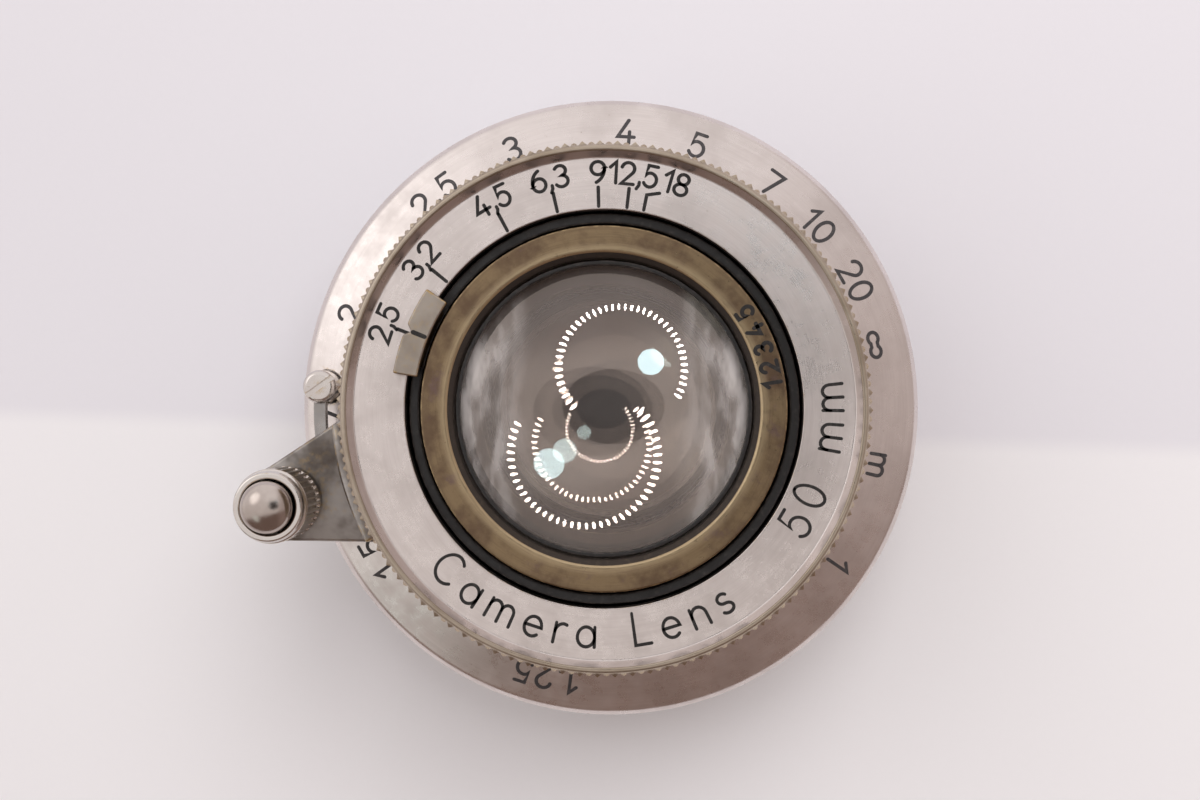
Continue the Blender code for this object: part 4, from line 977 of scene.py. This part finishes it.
def make_button():
    """The domed button on its stem, and the hook that the stem carries under the arm."""
    dome = [
        (BUTTON_RADIUS * math.sin(math.radians(t)), BUTTON_TOP - 1.05 * (1.0 - math.cos(math.radians(t))))
        for t in range(0, 91, 6)
    ]
    lower = [
        (BUTTON_RADIUS, BUTTON_BOTTOM + 0.1),
        (BUTTON_RADIUS - 0.1, BUTTON_BOTTOM),
        (STEM_RADIUS, BUTTON_BOTTOM),
        (STEM_RADIUS, FINGER_BOTTOM - 0.2),
        (STEM_RADIUS - 0.1, FINGER_BOTTOM - 0.3),
        (0.0, FINGER_BOTTOM - 0.3),
    ]
    mesh = swept("button", dome + lower, SMALL_STEPS, standing(KNOB_ORBIT, LEVER_ANGLE), closed=False)
    show("lock_button_fine", mesh, "nickel_button", "button", "nickel_plate", "lock_button")
    boss = arc(1.5, -150.0, 150.0, 32, (KNOB_ORBIT, 0.0))
    tip = CATCH_ANGLE + 2.5 - LEVER_ANGLE
    inner = arc(CATCH_ORBIT - 0.5, 2.0, tip, 16)
    outer = arc(CATCH_ORBIT + 0.5, tip, -2.0, 16)
    shoulder = arc(CATCH_ORBIT + 0.5, 2.0, 2.0, 1)[:1]
    turn = ON_AXIS @ Matrix.Rotation(math.radians(LEVER_ANGLE), 4, "Z")
    finger = softened(plate(boss + shoulder + inner + outer, FINGER_BOTTOM, FINGER_TOP, turn), 0.1)
    show("lock_finger_fine", finger, "steel", "button", "steel", "lock_finger")


# ---------------------------------------------------------------- barrel


def make_guide():
    outer, inner = COLLAR_BORE - 0.2, TUBE_RADIUS + 0.15
    profile = [(outer, COLLAR_TOP), (outer, 7.2), (inner, 7.2), (inner, COLLAR_TOP)]
    turn = ON_AXIS @ Matrix.Rotation(math.radians(KEY_ANGLE), 4, "Z")
    key = softened(block((1.05, 1.4, 1.9), (15.875, 0.0, 8.25), turn), 0.08)
    mesh = joined([swept("guide", eased(profile)), key])
    show("guide_ring_fine", mesh, "brass_plain", "guide", "bare_brass", "barrel_guide_ring")

    def pile(radius, degrees, height):
        return radius - 0.05 * saw(degrees / 2.3) * saw(degrees / 3.7 + height * 1.9)

    felt = [(outer, 7.0), (outer, 5.6), (inner + 0.05, 5.6), (inner + 0.05, 7.0)]
    mesh = swept("felt", refined(eased(felt, 0.2), outer, 5.6, 7.0, 0.1), shape=pile)
    show("felt_seal_fine", mesh, "felt", "guide", "felt", "felt_seal")


def groove_block():
    """The straight groove along the barrel that the guide ring's key runs in."""
    turn = ON_AXIS @ Matrix.Rotation(math.radians(KEY_ANGLE), 4, "Z")
    return block((0.8, 2 * GROOVE_HALF_WIDTH, 16.2), (GROOVE_FLOOR + 0.4, 0.0, 1.5), turn)


def make_barrel_tube():
    tube = [
        (TUBE_RADIUS, TUBE_FRONT),
        (TUBE_RADIUS, TUBE_REAR),
        (TUBE_INNER, TUBE_REAR),
        (TUBE_INNER, TUBE_FRONT),
    ]
    mesh = cut(swept("tube", eased(tube, 0.15)), [groove_block()])
    piece = show("barrel_tube_fine", mesh, "nickel_side", "barrel", "nickel_plate", "barrel_tube")
    paint(piece.data, "lacquer", lambda radius, height: radius < TUBE_INNER + 0.05)
    inner = TUBE_RADIUS + 0.15
    lugs = [(16.6, -9.5), (16.6, -11.5), (inner, -11.5), (inner, -9.5)]
    mesh = swept("lugs", eased(lugs, 0.12))
    show("lug_ring_fine", mesh, "brass_plain", "barrel", "bare_brass", "bayonet_lug_ring")
    baffle = [(14.4, -10.4), (14.4, -11.2), (12.0, -11.2), (11.3, -10.4)]
    mesh = swept("baffle", eased(baffle, 0.1))
    show("rear_baffle_fine", mesh, "lacquer", "barrel", "black_lacquer", "rear_light_baffle")


def make_head_body():
    """The iris housing: a spigot in the tube, a ledge for the base plate, and the slotted web."""
    bore = FACE_INNER + 0.12
    profile = [
        (HEAD_RADIUS, FACE_LEVEL - 1.3),
        (HEAD_RADIUS, FRONT_REAR - 0.2),
        (TUBE_RADIUS, FRONT_REAR - 0.2),
        (TUBE_RADIUS, TUBE_FRONT + 0.05),
        (14.6, TUBE_FRONT + 0.05),
        (14.6, 3.3),
        (13.6, 3.3),
        (13.6, 6.1),
        (14.8, 6.1),
        (14.8, 10.1),
        (10.0, 10.1),
        (10.0, WEB_TOP),
        (bore, WEB_TOP),
        (bore, FACE_LEVEL - 1.3),
    ]
    slot_start, slot_end = TAB_ANGLE - 84.3, TAB_ANGLE + 4.0
    slot_outline = arc(11.5, slot_start, slot_end, 32) + arc(10.5, slot_end, slot_start, 32)
    pin_slot = plate(slot_outline, 9.6, WEB_TOP + 0.5)
    mesh = cut(swept("head", eased(profile)), [groove_block(), pin_slot])
    piece = show("head_body_fine", mesh, "nickel_side", "barrel", "nickel_plate", "head_body")
    paint(piece.data, "lacquer", lambda radius, height: radius < bore + 0.05 or (height > 5.5 and radius < 15.0))


def knurl(radius, degrees, height):
    """Crossed grooves round the front ring, which leave rows of small blunt pyramids."""
    low, high = KNURL_BAND
    if abs(radius - FRONT_RADIUS) > 0.001 or not low < height < high:
        return radius
    around = degrees * KNURL_TEETH / 360.0
    rise = height / (2.0 * math.pi * FRONT_RADIUS / KNURL_TEETH)
    top = min(1.0, 1.35 * min(saw(around + rise), saw(around - rise)))
    ends = min(1.0, (height - low) / 0.25, (high - height) / 0.1)
    return radius + (KNURL_DEPTH * (top - 0.55)) * ends


def make_front_scale_ring():
    """The ring that carries the aperture scale: flat face, raised rim, knurled side and plain skirt."""
    skirt_top = KNURL_BAND[0] - 0.2
    profile = [
        (RIM_INNER, FRONT_TOP),
        (RIM_OUTER, FRONT_TOP),
        (FRONT_RADIUS, KNURL_BAND[1]),
        (FRONT_RADIUS, KNURL_BAND[0]),
        (FRONT_RADIUS, skirt_top),
        (HEAD_RADIUS + 0.3, skirt_top),
        (HEAD_RADIUS + 0.3, FACE_LEVEL - 1.0),
        (FACE_INNER, FACE_LEVEL - 1.0),
        (FACE_INNER, FACE_LEVEL),
        (FACE_OUTER, FACE_LEVEL),
    ]
    points = refined(eased(profile, 0.07), FRONT_RADIUS, KNURL_BAND[0], KNURL_BAND[1], 0.149)
    head = swept("front", points, KNURL_TEETH * 8, shape=knurl)
    skirt = [
        (FRONT_RADIUS, skirt_top + 0.02),
        (FRONT_RADIUS, FRONT_REAR),
        (HEAD_RADIUS + 0.3, FRONT_REAR),
        (HEAD_RADIUS + 0.3, skirt_top + 0.02),
    ]
    holes = [drill(0.75, -2.0, 2.0, lying(FRONT_RADIUS - 0.5, angle, HEAD_SCREW_LEVEL)) for angle in HEAD_SCREW_ANGLES]
    mesh = joined([head, cut(swept("skirt", eased(skirt, 0.07)), holes)])
    piece = show("front_scale_ring_fine", mesh, "nickel_face", "barrel", "nickel_plate", "front_scale_ring")
    paint(piece.data, "nickel_rim", lambda radius, height: radius > RIM_INNER - 0.12 and height > skirt_top)
    screw = [(0.0, 0.0), (0.6, 0.0), (0.6, -1.2), (0.36, -1.2), (0.36, -2.3), (0.0, -2.3)]
    for number, angle in enumerate(HEAD_SCREW_ANGLES, 1):
        mesh = slotted(screw, 0.0, lying(FRONT_RADIUS - 0.1, angle, HEAD_SCREW_LEVEL))
        name = f"head_screw_{number}"
        show(name + "_fine", mesh, "steel", "barrel", "steel", name)


# Aperture number, its tick's angle and the angle of its middle.
APERTURES = (
    ("2,5", 158.8, 158.8), ("3,2", 140.9, 140.9), ("4,5", 118.3, 118.3), ("6,3", 103.1, 103.1),
    ("9", 91.3, 91.3), ("12,5", 83.3, 82.6), ("18", 78.5, 72.0),
)


def make_front_marks():
    marks = []
    for text, tick, middle in APERTURES:
        marks.append((text_strokes(text, 1.45, 0.17), 15.45, middle + UPRIGHT, True))
        ray = [[(0.0, 0.0), (0.0, 1.3)]]
        if middle < tick - 5.0:
            ray = [[(0.0, 0.0), (0.0, 1.05), (0.75, 1.35)]]
        marks.append((ray, 13.85, tick + UPRIGHT, True))
    marks.append((text_strokes("Camera Lens   50 mm", 2.2, 0.45), 16.3, 294.5 + UPRIGHT, False))
    engraved("front_numbers", marks, face_level, "barrel", 0.23)
    serial = [(text_strokes("12345", 1.15, 0.62), 12.2, 21.5 + UPRIGHT, False)]
    engraved("serial_number", serial, lambda radius: 17.515, "barrel", 0.28)


def make_front_cell():
    """The brass cell round the front glass, bevelled inwards to the retaining ring."""
    profile = [
        (12.54, 17.5),
        (12.54, 15.6),
        (11.7, 15.6),
        (11.7, 12.2),
        (9.75, 12.2),
        (9.75, 10.05),
        (8.9, 10.05),
        (8.9, 12.7),
        (10.35, 12.7),
        (10.35, 16.9),
        (10.77, 17.5),
    ]
    mesh = swept("cell", eased(profile, 0.13))
    piece = show("front_cell_fine", mesh, "brass_ring", "barrel", "bare_brass", "front_cell")
    paint(piece.data, "lacquer_brown", lambda radius, height: radius < 10.7 or height < 15.0)


def make_cells():
    middle = [(13.3, 6.1), (13.3, 1.2), (9.2, 1.2), (9.2, 5.6), (8.3, 5.6), (8.3, 6.1)]
    mesh = swept("middle", eased(middle))
    show("middle_cell_fine", mesh, "lacquer", "barrel", "black_lacquer", "middle_cell")
    rear = [
        (13.3, 0.9),
        (13.3, 0.0),
        (10.9, 0.0),
        (10.9, -6.4),
        (8.9, -6.4),
        (8.9, -5.8),
        (9.8, -5.8),
        (9.8, 0.9),
    ]
    mesh = swept("rear", eased(rear, 0.12))
    piece = show("rear_cell_fine", mesh, "brass_plain", "barrel", "bare_brass", "rear_cell")
    paint(piece.data, "lacquer_brown", lambda radius, height: radius < 9.9)


RETAINING_RINGS = {
    "front_retaining_ring": (9.9, 10.2, 16.3, 16.8),
    "middle_retaining_ring": (8.2, 9.05, 1.35, 1.95),
    "rear_retaining_ring": (8.8, 9.65, 0.0, 0.6),
}


def make_retaining_rings():
    for name, (inner, outer, bottom, top) in RETAINING_RINGS.items():
        profile = [(outer, top), (outer, bottom), (inner, bottom), (inner, top)]
        mesh = swept("retaining", eased(profile, 0.08))
        show(name + "_fine", mesh, "lacquer", "barrel", "black_lacquer", name)


# Each element's mirroring surface: rim radius, rim height, surface radius, and the height its edge
# runs to. A positive surface radius bulges forwards.
ELEMENTS = {
    "front_outer_element": (10.2, 15.8, 35.0, 15.1),
    "front_inner_element": (10.2, 14.95, -25.0, 12.95),
    "middle_front_element": (9.0, 5.4, -24.0, 3.9),
    "middle_rear_element": (9.0, 3.75, -16.0, 2.3),
    "rear_inner_element": (9.6, -1.2, 70.0, -2.9),
    "rear_outer_element": (9.6, -5.3, -60.0, -3.05),
}


def make_elements():
    for name, (rim, rim_height, bend, edge) in ELEMENTS.items():
        sign = math.copysign(1.0, bend)
        size = abs(bend)
        drop = size - math.sqrt(size * size - rim * rim)
        points = []
        for i in range(25):
            radius = rim * i / 24
            sag = size - math.sqrt(size * size - radius * radius)
            points.append((radius, rim_height + sign * (drop - sag)))
        points.append((rim, edge))
        mesh = swept("element", points, 128, closed=False)
        look = "glass_front" if name == "front_outer_element" else "glass_inner"
        piece = show(name + "_fine", mesh, look, "barrel", "lens_glass", name)
        paint(piece.data, "lacquer", lambda radius, height: radius > rim - 0.02)


# ---------------------------------------------------------------- aperture


def make_aperture_ring():
    outer = FACE_INNER - 0.13
    bottom = WEB_TOP + 0.3
    profile = [
        (outer, FACE_LEVEL - 1.0),
        (outer, bottom),
        (10.2, bottom),
        (10.2, bottom + 0.9),
        (12.8, bottom + 0.9),
        (12.8, FACE_LEVEL - 1.0),
    ]
    mesh = swept("aperture", eased(profile, 0.12))
    show("aperture_ring_fine", mesh, "lacquer", "aperture", "black_lacquer", "aperture_ring")


def make_aperture_tab():
    """The winged tab over the face, with a notch for its index and a neck down through the slot."""
    turn = ON_AXIS @ Matrix.Rotation(math.radians(TAB_ANGLE), 4, "Z")
    tip, notch = 12.3, 1.6
    outer = arc(14.55, -tip, -notch, 16) + [(14.1, 0.0)] + arc(14.55, notch, tip, 16)
    wings = softened(plate(outer + arc(12.85, tip, -tip, 28), 17.5, 18.0, turn), 0.13, 3)
    neck = plate(arc(13.45, -9.0, 9.0, 16) + arc(12.87, 9.0, -9.0, 16), FACE_LEVEL - 0.85, 17.7, turn)
    show("aperture_tab_fine", joined([wings, neck]), "nickel_tab", "aperture", "worn_nickel", "aperture_tab")
    index = [([[(0.0, 0.0), (0.0, 0.85)]], 13.1, TAB_ANGLE, True)]
    engraved("aperture_index", index, lambda radius: 18.012, "aperture", 0.30)


KEPT_NODES = {
    "iris_base_plate": "lacquer",
    "iris_rotor_plate": "bluing",
    "drive_pin": "steel",
}


def finish_kept_nodes():
    """The flat plates and blades of the iris keep the CAD's shape and get their finishes."""
    finishes = dict(KEPT_NODES)
    for number in range(1, 9):
        finishes[f"iris_blade_{number}"] = "bluing"
    for name, look in finishes.items():
        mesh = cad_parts[name].data
        mesh.materials.clear()
        mesh.materials.append(looks[look])


# ---------------------------------------------------------------- studio


def make_floor():
    """A pale floor, lavender towards the top of the view and whiter towards the bottom, with a soft line between the
    two just behind the lens.
    """
    mesh = bpy.data.meshes.new("paper")
    form = bmesh.new()
    bmesh.ops.create_grid(form, x_segments=8, y_segments=8, size=1.5)
    form.to_mesh(mesh)
    form.free()
    tree, shader = new_look("paper")
    place = place_of(tree)
    up = dot(tree, place, (upright(0.03, 1.0, -SEAT) / MM).normalized())
    # Lavender towards the top of the view, whiter towards the bottom.
    near = spread(tree, up, -3.4 * MM, -1.2 * MM)
    fibre = cloud(tree, 0.6, 5.0)
    lavender = mixed(tree, fibre, (0.765, 0.757, 0.805, 1.0), (0.78, 0.772, 0.82, 1.0))
    white = mixed(tree, fibre, (0.85, 0.845, 0.87, 1.0), (0.865, 0.86, 0.885, 1.0))
    tree.links.new(mixed(tree, near, white, lavender), shader.inputs["Base Color"])
    shader.inputs["Roughness"].default_value = 0.8
    shader.inputs["Specular IOR Level"].default_value = 0.2
    bumped(tree, shader, fibre, 0.02, 0.3)
    mesh.materials.append(looks["paper"])
    floor = bpy.data.objects.new("paper_floor", mesh)
    bpy.context.scene.collection.objects.link(floor)


def make_emitter(name, mesh, colour, strength):
    """A small lamp that shows as a sharp reflection in glass and hardly lights anything else."""
    material = bpy.data.materials.new(name)
    material.use_nodes = True
    tree = material.node_tree
    tree.nodes.remove(tree.nodes["Principled BSDF"])
    sharp = add_node(tree, "ShaderNodeLightPath").outputs["Is Singular Ray"]
    power = spread(tree, sharp, 0.0, 1.0, 0.04 * strength, strength)
    glow = add_node(tree, "ShaderNodeEmission", {"Color": colour, "Strength": power})
    tree.links.new(glow.outputs[0], tree.nodes["Material Output"].inputs["Surface"])
    mesh.materials.append(material)
    lamp = bpy.data.objects.new(name, mesh)
    bpy.context.scene.collection.objects.link(lamp)
    lamp.visible_camera = False
    return lamp


def make_ring_lamp():
    """A ring of small diodes round the camera, open below, and one lamp beside it."""
    form = bmesh.new()
    count, gap, size = 42, 110.0, 33.0
    for i in range(count):
        degrees = -84.0 + gap / 2 + (360.0 - gap) * i / (count - 1)
        angle = math.radians(degrees)
        spot = upright(7.0 + size * math.cos(angle), 22.0 + size * math.sin(angle), 110.0)
        turn = Matrix.Rotation(math.radians(degrees + UPRIGHT), 4, "Z")
        place = Matrix.Translation(spot) @ turn @ Matrix.Diagonal((2.2, 0.75, 0.75, 1.0))
        bmesh.ops.create_icosphere(form, subdivisions=2, radius=MM, matrix=place)
    mesh = bpy.data.meshes.new("diodes")
    form.to_mesh(mesh)
    form.free()
    make_emitter("ring_lamp", mesh, (0.95, 0.97, 1.0, 1.0), 45.0)
    form = bmesh.new()
    place = Matrix.Translation(upright(22.0, 24.0, 112.0))
    bmesh.ops.create_icosphere(form, subdivisions=3, radius=7.0 * MM, matrix=place)
    mesh = bpy.data.meshes.new("side_lamp")
    form.to_mesh(mesh)
    form.free()
    make_emitter("side_lamp", mesh, (0.64, 0.97, 1.12, 1.0), 12.0)


def make_camera_shade():
    """The dark front of the camera, which shows only in the reflections."""
    outline = arc(9.0, 0.0, 360.0, 48)[:-1]
    rows = [(x * 3.0, y * 2.2) for x, y in outline]
    mesh = plate(rows, 0.0, 4.0, Matrix.Translation(upright(2.7, 0.6, 114.0)) @ Matrix.Rotation(math.radians(UPRIGHT), 4, "Z"))
    shade = make_emitter("camera_front", mesh, (0.03, 0.026, 0.025, 1.0), 1.0)
    shade.visible_shadow = False


def make_world():
    """Soft studio surroundings: pale above, a window to the left, dim and brown on the near side."""
    world = bpy.data.worlds.new("studio")
    bpy.context.scene.world = world
    world.use_nodes = True
    tree = world.node_tree
    towards = add_node(tree, "ShaderNodeTexCoord").outputs["Generated"]
    right = (upright(1.0, 0.0, -SEAT) / MM).normalized()
    up = (upright(0.0, 1.0, -SEAT) / MM).normalized()
    sky = Vector((0.0, 0.0, 0.70))
    lit = dot(tree, towards, up * 0.985 - right * 0.174)
    colour = mixed(tree, spread(tree, lit, -0.42, -0.24), (0.24, 0.17, 0.145, 1.0), (0.86, 0.81, 0.79, 1.0))
    colour = mixed(tree, spread(tree, lit, -0.1, 0.45), colour, (0.97, 0.925, 0.92, 1.0))
    side = dot(tree, towards, right)
    colour = mixed(tree, spread(tree, side, 0.3, 0.65, 0.0, 0.6), colour, (0.42, 0.32, 0.29, 1.0))
    window = dot(tree, towards, (up * 0.355 - right * 0.615 + sky).normalized())
    colour = mixed(tree, spread(tree, window, 0.95, 0.985), colour, (1.75, 1.70, 1.68, 1.0))
    gleam = dot(tree, towards, (up * -0.475 - right * 0.528 + sky).normalized())
    colour = mixed(tree, spread(tree, gleam, 0.984, 0.995, 0.0, 0.8), colour, (1.02, 1.10, 1.05, 1.0))
    tree.links.new(colour, tree.nodes["Background"].inputs["Color"])
    tree.nodes["Background"].inputs["Strength"].default_value = 1.0


def make_key_light():
    light = bpy.data.lights.new("key", "AREA")
    light.shape = "DISK"
    light.size = 0.28
    light.energy = 0.66
    light.color = (1.0, 0.98, 0.97)
    lamp = bpy.data.objects.new("key", light)
    bpy.context.scene.collection.objects.link(lamp)
    lamp.location = upright(90.0, 190.0, 320.0)
    lamp.visible_glossy = False
    aim = upright(0.0, 0.0, 5.0) - lamp.location
    lamp.rotation_euler = aim.to_track_quat("-Z", "Y").to_euler()


def make_camera():
    camera = bpy.data.cameras.new("camera")
    camera.lens = CAMERA_LENS
    camera.sensor_width = CAMERA_SENSOR
    camera.clip_start = 0.001
    holder = bpy.data.objects.new("camera", camera)
    bpy.context.scene.collection.objects.link(holder)
    spot = upright(*CAMERA_SPOT)
    back = (spot - upright(*CAMERA_TARGET)).normalized()
    up = upright(0.0, 1.0, -SEAT).normalized()
    across = up.cross(back).normalized()
    turn = Matrix((across, back.cross(across), back)).transposed()
    holder.matrix_world = Matrix.Translation(spot) @ turn.to_4x4()
    bpy.context.scene.camera = holder


make_looks()
make_mount_base()
make_distance_scale_ring()
make_scale_ring_screws()
make_infinity_catch()
make_distance_numbers()
make_cam_ring()
make_inner_helicoid()
make_collar()
make_focus_lever()
make_knob_sleeve()
make_button_spring()
make_button()
make_guide()
make_barrel_tube()
make_head_body()
make_front_scale_ring()
make_front_marks()
make_front_cell()
make_cells()
make_retaining_rings()
make_elements()
make_aperture_ring()
make_aperture_tab()
finish_kept_nodes()
make_floor()
make_ring_lamp()
make_camera_shade()
make_world()
make_key_light()
make_camera()
bpy.context.scene.view_settings.view_transform = "Standard"
